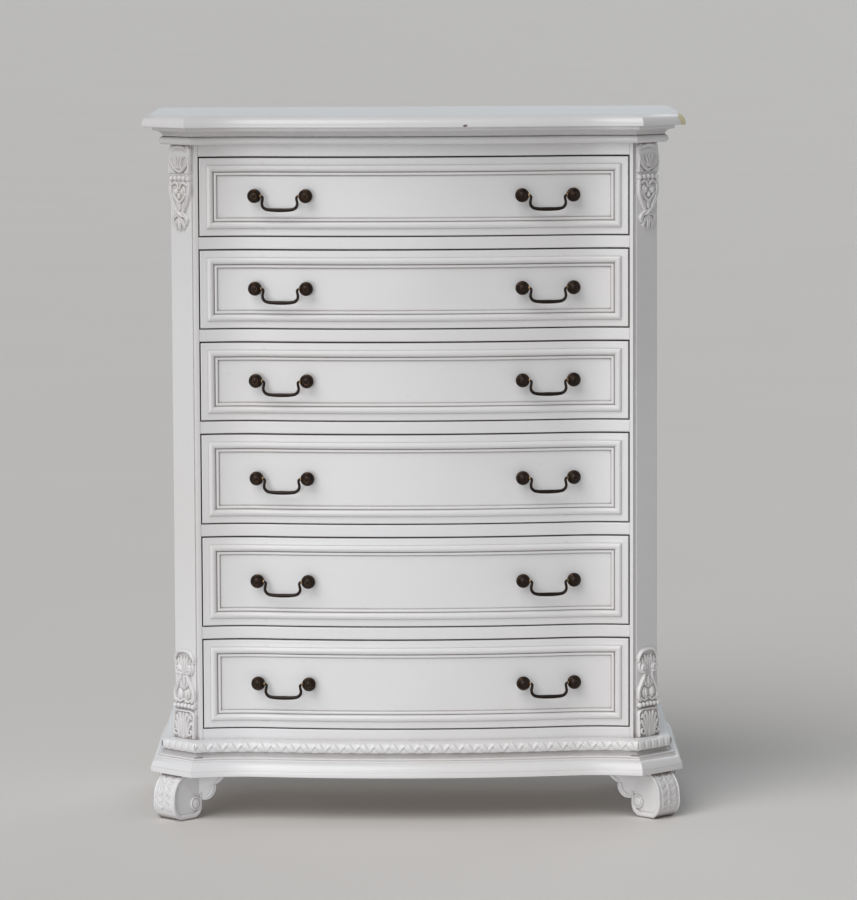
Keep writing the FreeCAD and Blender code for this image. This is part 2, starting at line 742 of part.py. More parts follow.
def serpentine_edges(half, out):
    """The front line as three arcs, from right to left."""
    end, turn, far_turn, far_end = [plan_vector(pair) for pair in serpentine_corners(half, out)[0]]
    mid_x = (end.x + turn.x) / 2
    mid = V(mid_x, line_y(mid_x, out), 0)
    top = V(0, line_y(0, out), 0)
    return [
        Part.Arc(end, mid, turn).toShape(),
        Part.Arc(turn, top, far_turn).toShape(),
        Part.Arc(far_turn, V(-mid.x, mid.y, 0), far_end).toShape(),
    ]


def front_blank(half, out, back, bottom, height):
    """An upright block with a serpentine front."""
    edges = serpentine_edges(half, out)
    x = float(half)
    left = V(-x, line_y(half, out), 0)
    back_left = V(-x, back, 0)
    back_right = V(x, back, 0)
    right = V(x, line_y(half, out), 0)
    for start, finish in ((left, back_left), (back_left, back_right), (back_right, right)):
        edges.append(Part.LineSegment(start, finish).toShape())
    face = Part.Face(Part.Wire(edges))
    face.translate(V(0, 0, bottom))
    return face.extrude(V(0, 0, height))


BEAD_SHARES = (("to", 0.3, 1.0), ("to", 0.72, 1.0), ("to", 1.0, 0.1))
SLOPE_SHARES = (("to", 1.0, 1.0),)


def border_steps(start_out):
    """Bead and slope as (inward, outward) distances from the flat border."""
    face = float(FACE_OUT)
    width = float(S["bead_width"])
    steps = []
    for kind, along, up in BEAD_SHARES:
        steps.append((kind, along * width, face + up * float(S["bead_rise"])))
    for kind, along, down in SLOPE_SHARES:
        steps.append((kind, width + along * float(S["slope_width"]), face - down * float(S["panel_sink"])))
    steps.append(("to", width + float(S["slope_width"]), start_out))
    return steps


def trapezoid(points, depth):
    """A block over a polygon in X and Z, through the whole depth."""
    placed = [V(x, -depth, z) for x, z in points]
    face = Part.Face(Part.makePolygon(placed + [placed[0]]))
    return face.extrude(V(0, 2 * depth, 0))


def bead_frame(bottom, height):
    """Four mitred lengths of bead round the sunk panel."""
    depth = float(S["overall_depth"])
    root_out = float(PANEL_OUT - S["panel_sink"])
    steps = border_steps(root_out)
    edge = float(S["border_width"])
    x_out = float(FRONT_HALF) - edge
    z_low = bottom + edge
    z_high = bottom + height - edge
    reach = min(x_out, (z_high - z_low) / 2)
    z_low_mid = z_low + reach
    z_high_mid = z_high - reach
    pieces = []
    for level, turn, mid in ((z_low, 1, z_low_mid), (z_high, -1, z_high_mid)):
        flat = [(kind, out, inward * turn) for kind, inward, out in steps]
        bar = front_run((root_out, 0.0), flat, level, x_out, 0)
        plan = [(-x_out, level), (x_out, level), (x_out - reach, mid), (reach - x_out, mid)]
        pieces.append(bar.common(trapezoid(plan, depth)))
    for sign in (-1, 1):
        def place(inward, out, s=sign):
            x = x_out - inward
            return V(s * x, line_y(x, 0) - out, z_low)
        upright = profile_face((0.0, root_out), [(kind, inward, out) for kind, inward, out in steps], place)
        bar = upright.extrude(V(0, 0, z_high - z_low))
        plan = [(sign * x_out, z_low), (sign * x_out, z_high), (sign * (x_out - reach), z_high_mid),
                (sign * (x_out - reach), z_low_mid)]
        pieces.append(bar.common(trapezoid(plan, depth)))
    return pieces


class Pull:
    """Where one handle sits: its middle and its directions on the curved panel."""

    def __init__(self, side, level):
        reach = float(S["pull_spacing"]) / 2
        middle = side * float(PULL_X)
        ends = [V(middle + step * reach, line_y(middle + step * reach, PANEL_OUT), 0) for step in (-1, 1)]
        self.along = (ends[1] - ends[0]).normalize()
        self.out = V(self.along.y, -self.along.x, 0)
        seat = max(self.rise(end) for end in ends) - ends[0].dot(self.out)
        lift = seat + float(S["pull_seat"])
        centre = (ends[0] + ends[1]) * 0.5 + self.out * lift
        self.middle = V(centre.x, centre.y, level)
        self.posts = [self.middle + self.along * (step * reach) for step in (-1, 1)]

    def rise(self, end):
        """How far the panel stands up under a rosette, along the handle's own direction."""
        radius = float(S["rosette_radius"])
        heights = []
        for step in (-1, 0, 1):
            x = end.x + step * radius * self.along.x
            heights.append(V(x, line_y(x, PANEL_OUT), 0).dot(self.out))
        return max(heights)


def pull_level(bottom, height):
    return float(bottom + height / 2 + S["pull_rise"])


def make_drawer_front(number, bottom, height):
    """A serpentine board with a sunk panel and a mitred bead frame."""
    low = float(bottom + S["front_gap"])
    tall = float(height - S["front_gap"] - S["front_gap_above"])
    back = float(RAIL_BACK)
    board = front_blank(FRONT_HALF, FACE_OUT, back, low, tall)
    inset = float(S["border_width"]) + float(S["bead_width"])
    recess = front_blank(FRONT_HALF - inset, FACE_OUT + S["bow_depth"], back, low + inset, tall - 2 * inset)
    keep = front_blank(FRONT_HALF, PANEL_OUT, back, low, tall)
    board = board.cut(recess.cut(keep))
    board = board.fuse(bead_frame(low, tall)).removeSplitter()
    return feature("drawer_%d_front" % number, board)


def make_drawer_box(number, bottom, height):
    """Two sides, a back and a bottom panel that lies in grooves."""
    name = "drawer_%d_" % number
    low = bottom + S["slide_gap"]
    top = bottom + height - S["box_headroom"]
    rear = BACK - S["back_thickness"] - S["box_rear_gap"]
    inner = BOX_HALF - S["box_side"]
    groove = inner + S["tray_groove"]
    tray_low = low + S["tray_lift"]
    tray_top = tray_low + S["tray_thickness"]
    pieces = []
    for side, sign in (("left", -1), ("right", 1)):
        section = [
            (inner, low), (BOX_HALF, low), (BOX_HALF, top), (inner, top),
            (inner, tray_top), (groove, tray_top), (groove, tray_low), (inner, tray_low),
        ]
        placed = [(across * sign, up) for across, up in section]
        pieces.append(prism(name + side, "XZ_Plane", -rear, rear - RAIL_BACK, placed))
    back = rectangle(-inner, inner, tray_top, top)
    pieces.append(prism(name + "back", "XZ_Plane", -rear, S["box_side"], back))
    tray = rectangle(-groove, groove, RAIL_BACK, rear)
    bottom_panel = prism(name + "bottom", "XY_Plane", tray_low, S["tray_thickness"], tray)
    return [group(name + "box", pieces), bottom_panel]


HEAD_SHARES = ((0.80, 0.0), (1.0, 0.27), (0.96, 0.67), (0.44, 1.0))
SIDES = 8
SIDE_TURN = math.tau / SIDES


def ring(centre, first, second, first_radius, second_radius):
    """An eight-sided ring about a centre, with its own radius along each direction."""
    corners = []
    for corner in range(SIDES):
        angle = SIDE_TURN * (corner + 0.5)
        aside = first * (first_radius * math.cos(angle))
        corners.append(centre + aside + second * (second_radius * math.sin(angle)))
    return corners


def polygon(corners):
    return Part.Face(Part.makePolygon(corners + [corners[0]]))


def skin(rings):
    """A solid with flat sides between neighbouring rings, closed at both ends."""
    faces = [polygon(rings[0]), polygon(rings[-1])]
    for low, high in zip(rings, rings[1:]):
        for corner in range(SIDES):
            after = (corner + 1) % SIDES
            quad = [low[corner], low[after], high[after], high[corner]]
            normal = (quad[1] - quad[0]).cross(quad[3] - quad[0]).normalize()
            if abs((quad[2] - quad[0]).dot(normal)) < TOUCH:
                faces.append(polygon(quad))
            else:
                faces.append(polygon(quad[:3]))
                faces.append(polygon([quad[0], quad[2], quad[3]]))
    return Part.makeSolid(Part.makeShell(faces))


def make_post(point, out, toward):
    """A post with a rosette, a neck and a round head, and a blind hole for the bail."""
    start = float(S["head_start"])
    length = float(S["head_end"]) - start
    rosette = float(S["rosette_radius"])
    neck = float(S["neck_radius"])
    thick = float(S["rosette_height"])
    outline = [(rosette, 0.0), (rosette, thick), (neck, thick), (neck, start)]
    outline += [(share * float(S["head_radius"]), start + along * length) for share, along in HEAD_SHARES]
    rings = [ring(point + out * distance, toward, UP, radius, radius) for radius, distance in outline]
    stages = [skin(stage) for stage in (rings[:2], rings[2:4], rings[4:])]
    post = stages[0].fuse(stages[1:])
    pivot = point + out * float(S["bail_out"])
    wide = float(S["bail_radius"] + S["pivot_clearance"]) / math.cos(SIDE_TURN / 2)
    ends = [pivot + toward * distance for distance in (pivot_start(), 2 * float(S["head_radius"]))]
    return post.cut(skin([ring(end, out, UP, wide, wide) for end in ends]))


def pivot_start():
    """Bottom of the blind hole, measured from the post's axis."""
    return float(S["head_radius"]) - float(S["pivot_depth"]) - float(S["pivot_end_gap"])


def make_posts(number, bottom, height):
    posts = []
    for side in (-1, 1):
        pull = Pull(side, pull_level(bottom, height))
        for point, sign in zip(pull.posts, (1, -1)):
            posts.append(make_post(point, pull.out, pull.along * sign))
    return feature("drawer_%d_pull_posts" % number, Part.makeCompound(posts))


BEND_SHARE = 0.3
SWELL_SHARE = 0.42


def bail_route():
    """The bail from its right end to its left one, as across, up and radius."""
    radius = float(S["bail_radius"])
    end = float(S["pull_spacing"]) / 2 - pivot_start() - float(S["pivot_end_gap"])
    leg = float(S["bail_half"])
    drop = float(S["bail_drop"])
    bend = float(S["bail_bend"])
    elbow = 2 * radius
    right = [
        (end, 0.0, radius),
        (leg + elbow, 0.0, radius),
        (leg, -elbow, radius),
        (leg, bend - drop, radius),
        (leg - bend * BEND_SHARE, bend * BEND_SHARE - drop, radius),
        (leg - bend, -drop, radius),
        (leg * SWELL_SHARE, -drop, float(S["bar_radius"])),
    ]
    left = [(-across, up, thick) for across, up, thick in reversed(right)]
    return right + left


def make_bail(number, name, side, bottom, height):
    """A swan-neck bail: two pivot ends, two legs and a bar that swells in the middle."""
    pull = Pull(side, pull_level(bottom, height))
    pivot = pull.middle + pull.out * float(S["bail_out"])
    route = bail_route()
    points = [V(across, up, 0) for across, up, thick in route]
    rings = []
    for index, (across, up, thick) in enumerate(route):
        before = points[max(index - 1, 0)]
        after = points[min(index + 1, len(points) - 1)]
        here = points[index]
        steps = [step.normalize() for step in (here - before, after - here) if step.Length > TOUCH]
        ahead = sum(steps[1:], steps[0]).normalize()
        aside = pull.along * -ahead.y + UP * ahead.x
        centre = pivot + pull.along * here.x + UP * here.y
        rings.append(ring(centre, aside, pull.out, thick / ahead.dot(steps[0]), thick))
    return feature("drawer_%d_bail_%s" % (number, name), skin(rings))


def make_drawers():
    nodes = []
    for number, (bottom, height) in enumerate(OPENINGS, start=1):
        nodes.append(make_drawer_front(number, bottom, height))
        nodes.extend(make_drawer_box(number, bottom, height))
        nodes.append(make_posts(number, bottom, height))
        for name, side in (("left", -1), ("right", 1)):
            nodes.append(make_bail(number, name, side, bottom, height))
    return nodes


def make_tallboy():
    nodes = [make_top_board()]
    nodes.extend(make_rails())
    nodes.extend(make_side("left", -1))
    nodes.extend(make_side("right", 1))
    nodes.extend(make_back_and_bottom())
    nodes.extend(make_runners())
    nodes.extend(make_mouldings())
    nodes.extend(make_carvings())
    nodes.extend(make_feet())
    nodes.extend(make_drawers())
    return nodes


def check_model(nodes):
    """Stops with the names of all pieces that failed."""
    faults = [item.Label for item in doc.Objects if "Invalid" in item.State or "Error" in item.State]
    for node in nodes:
        if node.Shape.isNull() or not node.Shape.isValid() or not node.Shape.Solids:
            faults.append(node.Label)
    if faults:
        raise ValueError("failed pieces: " + ", ".join(faults))


NODES = make_tallboy()
doc.recompute()
check_model(NODES)
os.makedirs("parts", exist_ok=True)
for node in NODES:
    node.Shape.exportStep("parts/%s.step" % node.Label)
print(len(NODES), "nodes,", sum(len(node.Shape.Solids) for node in NODES), "solids")
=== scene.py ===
# %% [markdown]
# The frame comes first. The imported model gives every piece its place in
# metres, with X to the right, Y to the back and Z up from the floor. Pieces
# with curved faces or carving are made again here, finer than the frame's
# own, and flat boards are kept as they are and only get their finish.

import json
import math

import bmesh
import bpy
import numpy as np
from mathutils import Matrix, Vector


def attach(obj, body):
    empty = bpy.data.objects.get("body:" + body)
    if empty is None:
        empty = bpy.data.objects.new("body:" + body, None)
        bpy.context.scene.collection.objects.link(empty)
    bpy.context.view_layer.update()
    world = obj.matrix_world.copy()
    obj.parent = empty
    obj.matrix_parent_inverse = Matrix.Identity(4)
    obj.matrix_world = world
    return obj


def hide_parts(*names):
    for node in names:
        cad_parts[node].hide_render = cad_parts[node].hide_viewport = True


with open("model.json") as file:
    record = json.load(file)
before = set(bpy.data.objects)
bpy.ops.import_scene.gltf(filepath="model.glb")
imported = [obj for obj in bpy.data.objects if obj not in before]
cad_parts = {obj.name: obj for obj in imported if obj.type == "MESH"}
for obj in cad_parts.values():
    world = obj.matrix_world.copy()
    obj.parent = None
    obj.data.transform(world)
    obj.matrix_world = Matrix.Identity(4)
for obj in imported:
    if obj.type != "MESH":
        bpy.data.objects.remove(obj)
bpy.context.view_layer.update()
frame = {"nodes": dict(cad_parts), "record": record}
NODES = frame["nodes"]
MM = 0.001

# %% [markdown]
# The front of a serpentine chest is one line in plan: a wide bow between two
# hollows. All rails, drawer fronts and mouldings follow it, so it is worked
# out once. A distance outward from the line gives the same line again with
# other radii, which is how a moulding keeps its width round the bow.

# %% The front line
CASE_HALF = 0.452
CANT = 0.046
BACK = 0.245
BOW_FRONT = -0.193
BOW_DEPTH = 0.028
HOLLOW_R = 0.320
HOLLOW_SHARE = 0.8128
STILE = 0.007
RAIL_DEPTH = 0.022
CORNER_X = CASE_HALF - CANT
HOLLOW_X = CORNER_X * HOLLOW_SHARE
RADII_SUM = (HOLLOW_X**2 + BOW_DEPTH**2) / (2 * BOW_DEPTH)
BOW_R = RADII_SUM - HOLLOW_R
BOW_Y = BOW_FRONT + BOW_R
HOLLOW_Y = BOW_FRONT + BOW_DEPTH - HOLLOW_R
TURN_X = HOLLOW_X * BOW_R / RADII_SUM


def front_y(x, out=0.0):
    """Y of the front line at each x, moved outward by a distance."""
    x = np.abs(np.asarray(x, float))
    out = np.asarray(out, float)
    bow = BOW_Y - np.sqrt((BOW_R + out) ** 2 - x**2)
    aside = np.clip(x - HOLLOW_X, -HOLLOW_R, HOLLOW_R)
    hollow = HOLLOW_Y + np.sqrt(np.maximum((HOLLOW_R - out) ** 2 - aside**2, 0.0))
    return np.where(x < HOLLOW_X * (BOW_R + out) / RADII_SUM, bow, hollow)


CORNER_Y = float(front_y(CORNER_X))
SIDE_Y = CORNER_Y + CANT
OPENING_HALF = CORNER_X - STILE
RAIL_BACK = BOW_FRONT + BOW_DEPTH + RAIL_DEPTH
SLANT = math.sqrt(0.5)
print("front line: corner at", round(CORNER_X, 4), round(CORNER_Y, 4))

# %% [markdown]
# A moulding runs round the case: back along one side, over the cut-off
# corner, along the front and back again. A joiner cuts each length at a
# mitre. The stations below hold a point of the case's line and the way
# outward from it. At a mitre that way is longer than one, so that both
# lengths meet in it.

# %% Stations round the case


def unit(x, y):
    length = math.hypot(x, y)
    return (x / length, y / length)


def mitre(first, second):
    spread = 1 + first[0] * second[0] + first[1] * second[1]
    return ((first[0] + second[0]) / spread, (first[1] + second[1]) / spread)


def evenly(start, finish, step):
    """Even places from start to finish, about one step apart."""
    return np.linspace(start, finish, max(int((finish - start) / step), 2))


def half_round_case(arc_step):
    """Stations from the middle of the front to the back, on the right."""
    stations = []
    for x in evenly(0.0, TURN_X, arc_step):
        y = float(front_y(x))
        stations.append(((x, y), unit(x, y - BOW_Y)))
    for x in evenly(TURN_X, CORNER_X, arc_step)[1:]:
        y = float(front_y(x))
        stations.append(((x, y), unit(HOLLOW_X - x, HOLLOW_Y - y)))
    front_way = stations[-1][1]
    cant_way = (SLANT, -SLANT)
    side_way = (1.0, 0.0)
    stations.append(((CORNER_X, CORNER_Y), mitre(front_way, cant_way)))
    stations.append(((CASE_HALF, SIDE_Y), mitre(cant_way, side_way)))
    stations.append(((CASE_HALF, BACK), side_way))
    return stations


def round_case(arc_step=0.012):
    """Stations from the left of the back, round the front, to its right."""
    right = half_round_case(arc_step)
    left = [((-x, y), (-wx, wy)) for (x, y), (wx, wy) in reversed(right)]
    return left[:-1] + right


print("stations:", len(round_case()))

# %% [markdown]
# Every mesh here is made from plain lists of points and faces, and then
# cleaned: doubled points are merged, faces turned outward, and edges sharper
# than an angle kept crisp while the rest is shaded smoothly. The measure
# called ridge says how strongly the surface is rounded at each point. It is
# positive on a ridge and negative in a hollow, and the finishes use it to
# rub paint off ridges and to darken hollows with dust and painted shade.

# %% Making a mesh
MERGE = 1e-6
BALL = 0.002


def measure_ridges(mesh):
    """Stores how convex the surface is at each point: one on a ball 2 mm across."""
    count = len(mesh.vertices)
    points = np.empty(count * 3)
    normals = np.empty(count * 3)
    mesh.vertices.foreach_get("co", points)
    mesh.vertex_normals.foreach_get("vector", normals)
    points = points.reshape(-1, 3)
    normals = normals.reshape(-1, 3)
    pairs = np.empty(len(mesh.edges) * 2, int)
    mesh.edges.foreach_get("vertices", pairs)
    first, second = pairs.reshape(-1, 2).T
    bend = np.zeros(count)
    links = np.zeros(count)
    for here, there in ((first, second), (second, first)):
        step = points[there] - points[here]
        drop = -np.einsum("ij,ij->i", step, normals[here])
        length = np.einsum("ij,ij->i", step, step)
        np.add.at(bend, here, drop / np.maximum(length, 1e-9))
        np.add.at(links, here, 1)
    bend = bend / np.maximum(links, 1)
    layer = mesh.attributes.new("ridge", "FLOAT", "POINT")
    layer.data.foreach_set("value", np.clip(bend * BALL, -1, 1).astype(np.float32))


def make_piece(name, points, faces, finishes, which=None, crisp=35):
    """A mesh object from points and faces, cleaned and shaded."""
    mesh = bpy.data.meshes.new(name)
    points = [tuple(point) for point in np.asarray(points, float)]
    mesh.from_pydata(points, [], [tuple(int(i) for i in face) for face in faces])
    for finish in finishes:
        mesh.materials.append(finish)
    if which is not None:
        mesh.polygons.foreach_set("material_index", [int(i) for i in which])
    work = bmesh.new()
    work.from_mesh(mesh)
    bmesh.ops.remove_doubles(work, verts=work.verts, dist=MERGE)
    bmesh.ops.dissolve_degenerate(work, dist=MERGE / 10, edges=work.edges)
    bmesh.ops.recalc_face_normals(work, faces=work.faces)
    work.to_mesh(mesh)
    work.free()
    mesh.shade_smooth()
    mesh.set_sharp_from_angle(angle=math.radians(crisp))
    measure_ridges(mesh)
    piece = bpy.data.objects.new(name, mesh)
    bpy.context.scene.collection.objects.link(piece)
    return piece


def hand_over(piece, body, node=None):
    """Fixes a piece to its body, in place of the frame's plain piece if it has one."""
    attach(piece, body)
    if node:
        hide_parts(node)


def fit_to_case(piece, node=None):
    hand_over(piece, "case", node)


def lattice(rows, columns, start=0, around=False):
    """Faces over a grid of points that is stored row by row."""
    width = columns if around else columns - 1
    row, column = np.meshgrid(np.arange(rows - 1), np.arange(width), indexing="ij")
    after = (column + 1) % columns
    near, far = row * columns, (row + 1) * columns
    corners = [near + column, near + after, far + after, far + column]
    return (np.stack([corner.ravel() for corner in corners], axis=1) + start).tolist()


def tube_faces(rows, columns, start=0):
    """Faces of a tube of rings that is closed at both ends."""
    last = start + (rows - 1) * columns
    shut = [list(range(start, start + columns))[::-1], list(range(last, last + columns))]
    return lattice(rows, columns, start, around=True) + shut


def swept(profile, stations):
    """The points of a profile of (out, up) at every station."""
    rings = []
    for (x, y), (wx, wy) in stations:
        rings += [(x + wx * out, y + wy * out, up) for out, up in profile]
    return rings


def run_moulding(name, profile, stations, finishes):
    """Draws a closed profile along the stations and caps its ends."""
    faces = tube_faces(len(stations), len(profile))
    return make_piece(name, swept(profile, stations), faces, finishes)


def lathe(profile, centre, out, sides=28):
    """A turned shape from (radius, distance) in millimetres, along a level way."""
    out = np.array([out[0], out[1], 0.0])
    along = np.array([-out[1], out[0], 0.0])
    up = np.array([0.0, 0.0, 1.0])
    turns = np.linspace(0, math.tau, sides, endpoint=False)
    ring = np.cos(turns)[:, None] * along + np.sin(turns)[:, None] * up
    rings = []
    for radius, distance in profile:
        rings.append(centre + out * distance * MM + ring * max(radius, 0.02) * MM)
    return np.vstack(rings), tube_faces(len(profile), sides)


def joined(parts):
    """Several lists of points and faces as one."""
    points, faces, count = [], [], 0
    for some_points, some_faces in parts:
        points.append(np.asarray(some_points, float))
        faces += [[i + count for i in face] for face in some_faces]
        count += len(some_points)
    return np.vstack(points), faces


print("mesh helpers ready")

# %% [markdown]
# A finish is a node tree. Its sums are easier to read as ordinary sums, so a
# small class wraps one output of a node and lets Python's own signs add the
# Math nodes. Any other node comes from one method, which takes its kind, its
# settings and what goes into its sockets.

# %% Sums on wires


class Wire:
    """One output in a finish's node tree, with arithmetic on it."""

    def __init__(self, finish, socket):
        self.finish = finish
        self.socket = socket

    def maths(self, operation, first, second):
        return self.finish.node("ShaderNodeMath", {"operation": operation}, {0: first, 1: second})

    def __add__(self, other):
        return self.maths("ADD", self, other)

    __radd__ = __add__

    def __sub__(self, other):
        return self.maths("SUBTRACT", self, other)

    def __rsub__(self, other):
        return self.maths("SUBTRACT", other, self)

    def __mul__(self, other):
        return self.maths("MULTIPLY", self, other)

    __rmul__ = __mul__

    def __gt__(self, other):
        return self.maths("GREATER_THAN", self, other)

    def __abs__(self):
        return self.maths("ABSOLUTE", self, 0.0)

    def ramp(self, low, high):
        """Zero up to low, one from high on, and smooth between them."""
        settings = {"interpolation_type": "SMOOTHSTEP"}
        return self.finish.node("ShaderNodeMapRange", settings, {0: self, 1: low, 2: high})


class Finish:
    """A material whose nodes are added one sum at a time."""

    def __init__(self, name, **constants):
        self.material = bpy.data.materials.new(name)
        self.material.use_nodes = True
        self.tree = self.material.node_tree
        self.shader = self.tree.nodes["Principled BSDF"]
        for socket, value in constants.items():
            self.shader.inputs[socket.replace("_", " ")].default_value = value

    def feed(self, socket, value):
        if isinstance(value, Wire):
            self.tree.links.new(value.socket, socket)
        elif isinstance(value, (tuple, list)) and socket.type == "RGBA":
            socket.default_value = (*value[:3], 1.0)
        else:
            socket.default_value = value

    def node(self, kind, settings=None, sockets=None, out=0):
        made = self.tree.nodes.new(kind)
        for name, value in (settings or {}).items():
            setattr(made, name, value)
        for key, value in (sockets or {}).items():
            self.feed(made.inputs[key], value)
        return Wire(self, made.outputs[out])

    def place(self):
        """The point on the piece, in metres in its own frame."""
        return self.node("ShaderNodeTexCoord", out="Object")

    def stretched(self, scale):
        sockets = {"Vector": self.place(), "Scale": scale}
        return self.node("ShaderNodeMapping", {"vector_type": "POINT"}, sockets)

    def cloud(self, scale, detail=2.0, where=None, rough=0.5):
        """Noise between zero and one, with this many patches to a metre."""
        sockets = {"Vector": where or self.place(), "Scale": scale}
        sockets.update(Detail=detail, Roughness=rough)
        return self.node("ShaderNodeTexNoise", None, sockets)

    def stored(self, name):
        return self.node("ShaderNodeAttribute", {"attribute_name": name}, out="Fac")

    def recess(self, reach):
        """One in the open, falling towards zero in corners closer than reach."""
        sockets = {"Distance": reach}
        return self.node("ShaderNodeAmbientOcclusion", {"samples": 6}, sockets, out="AO")

    def blend(self, share, first, second):
        sockets = {0: share, 6: first, 7: second}
        return self.node("ShaderNodeMix", {"data_type": "RGBA"}, sockets, out=2)

    def near(self, centre, reach, stretch=(1, 1, 1)):
        """One at a spot, falling to zero at reach, with a ragged rim."""
        kind = "ShaderNodeVectorMath"
        offset = self.node(kind, {"operation": "SUBTRACT"}, {0: self.place(), 1: centre})
        scaled = self.node(kind, {"operation": "MULTIPLY"}, {0: offset, 1: stretch})
        distance = self.node(kind, {"operation": "LENGTH"}, {0: scaled}, out="Value")
        ragged = distance + (self.cloud(1.1 / reach, 4.0) - 0.5) * (reach * 1.1)
        return 1.0 - ragged.ramp(reach * 0.82, reach)

    def bump(self, height, depth, strength=1.0):
        sockets = {"Height": height, "Distance": depth, "Strength": strength}
        self.feed(self.shader.inputs["Normal"], self.node("ShaderNodeBump", None, sockets))

    def use(self, **wires):
        for socket, value in wires.items():
            self.feed(self.shader.inputs[socket.replace("_", " ")], value)
        return self.material


print("finish helpers ready")

# %% [markdown]
# The white is a sprayed lacquer: nearly even, cool, and glossy under a clear
# coat. What makes it look real is small. The tone drifts a little over a
# board, the surface has the fine waviness of sprayed paint, recesses and
# gaps are painted darker as dust and as painted shade, and the primer shows
# where an edge was knocked. Four such places are on this chest, and each
# is a spot with a ragged rim.

# %% White lacquer
WHITE = (0.775, 0.775, 0.790)
WHITE_WARM = (0.735, 0.722, 0.722)
# Brown painted into recesses, for dust and for the shade that falls in them.
DUST_AND_SHADE = (0.270, 0.215, 0.190)
PRIMER = (0.700, 0.640, 0.420)
BARE = (0.150, 0.110, 0.090)

SPOTS = (
    ((0.5000, -0.1480, 1.3050), 0.0155, (1.0, 0.75, 1.0), PRIMER),
    ((0.0960, -0.2445, 1.2958), 0.0040, (0.7, 1.0, 1.5), BARE),
    ((0.1315, -0.2385, 0.0850), 0.0034, (1.0, 1.0, 1.0), BARE),
    ((0.1850, -0.1900, 0.3060), 0.0020, (1.0, 1.0, 1.0), BARE),
)


def make_lacquer():
    paint = Finish("white_lacquer", Coat_Roughness=0.20, Specular_IOR_Level=0.5)
    drift = paint.cloud(2.4, 3.0)
    smudge = paint.cloud(26.0, 4.0, rough=0.6)
    colour = paint.blend(drift.ramp(0.35, 0.75), WHITE, WHITE_WARM)
    ridge = paint.stored("ridge")
    # Painted shade: corners, grooves, gaps and hollows are darkened towards brown, as dust and as
    # the shade that falls there.
    shut = 1.0 - paint.recess(0.014)
    hollow = (0.0 - ridge).ramp(0.06, 0.42)
    dust_and_shade = (shut.ramp(0.20, 0.85) * 0.70 + hollow * 0.58) * (smudge + 0.45)
    colour = paint.blend(dust_and_shade, colour, DUST_AND_SHADE)
    rubbed = ridge.ramp(0.40, 0.95) * paint.cloud(38.0, 5.0).ramp(0.60, 0.70)
    colour = paint.blend(rubbed * 0.55, colour, PRIMER)
    chipped = 0.0
    for centre, reach, stretch, under in SPOTS:
        spot = paint.near(centre, reach, stretch)
        colour = paint.blend(spot, colour, under)
        chipped = chipped + spot
    waves = paint.cloud(520.0, 2.0)
    grit = paint.cloud(70.0, 3.0)
    paint.bump(waves * 0.10 + grit * 0.16 - chipped * 0.8, 0.0004)
    rough = 0.30 + (smudge - 0.5) * 0.12 + dust_and_shade * 0.35 + chipped * 0.3
    coat = 0.38 - chipped * 0.35 - dust_and_shade * 0.25
    return paint.use(Base_Color=colour, Roughness=rough, Coat_Weight=coat)


LACQUER = make_lacquer()
print("white lacquer:", len(LACQUER.node_tree.nodes), "nodes")

# %% [markdown]
# The handles are cast brass with a brown-black patina, rubbed back to warm
# metal on their ridges and where fingers take hold. The patina is duller
# than the metal, so one mask drives colour, metal and roughness together.

# %% Antique bronze


def make_bronze(name, patina, metal, low, high):
    bronze = Finish(name, Specular_IOR_Level=0.5)
    speck = bronze.cloud(420.0, 3.0, rough=0.6)
    patch = bronze.cloud(90.0, 4.0)
    rubbed = (bronze.stored("ridge") + (patch - 0.5) * 0.5).ramp(low, high)
    worn = tuple(part * gain for part, gain in zip(patina, (2.4, 1.9, 1.5)))
    tint = bronze.blend(speck, patina, worn)
    colour = bronze.blend(rubbed, tint, metal)
    bronze.bump(speck * 0.5 + patch * 0.5, 0.0003, 0.6)
    rough = 0.36 + (patch - 0.5) * 0.18 - rubbed * 0.10
    return bronze.use(Base_Color=colour, Metallic=0.72 + rubbed * 0.28, Roughness=rough)


BLACK_BROWN, DULL_BRASS, GREY = (0.0095, 0.0062, 0.0050), (0.040, 0.026, 0.014), (0.30, 0.29, 0.27)
RED_BRASS, BRASS, BRIGHT = (0.36, 0.190, 0.085), (0.50, 0.32, 0.14), (0.62, 0.60, 0.55)
BRONZE = make_bronze("antique_bronze", BLACK_BROWN, RED_BRASS, 0.56, 1.10)
PIVOT_BRASS = make_bronze("pivot_brass", DULL_BRASS, BRASS, 0.10, 0.7)
STEEL = make_bronze("screw_steel", GREY, BRIGHT, -0.2, 0.3)
print("bronze, brass and steel ready")

# %% [markdown]
# Drawer boxes and runners are plain pale hardwood under a thin satin
# lacquer. Wood grain is noise stretched along the board, with darker pores
# in fine streaks. Slow noise that is folded back and forth gives the growth
# rings, as a saw shows them where it cuts through them at a slant. A drawer's
# sides run from front to back and its back runs across, so the grain turns
# where the board does. Hidden panels are plywood, peeled from a log, whose
# rings are wide and run upright.

# %% Bare wood


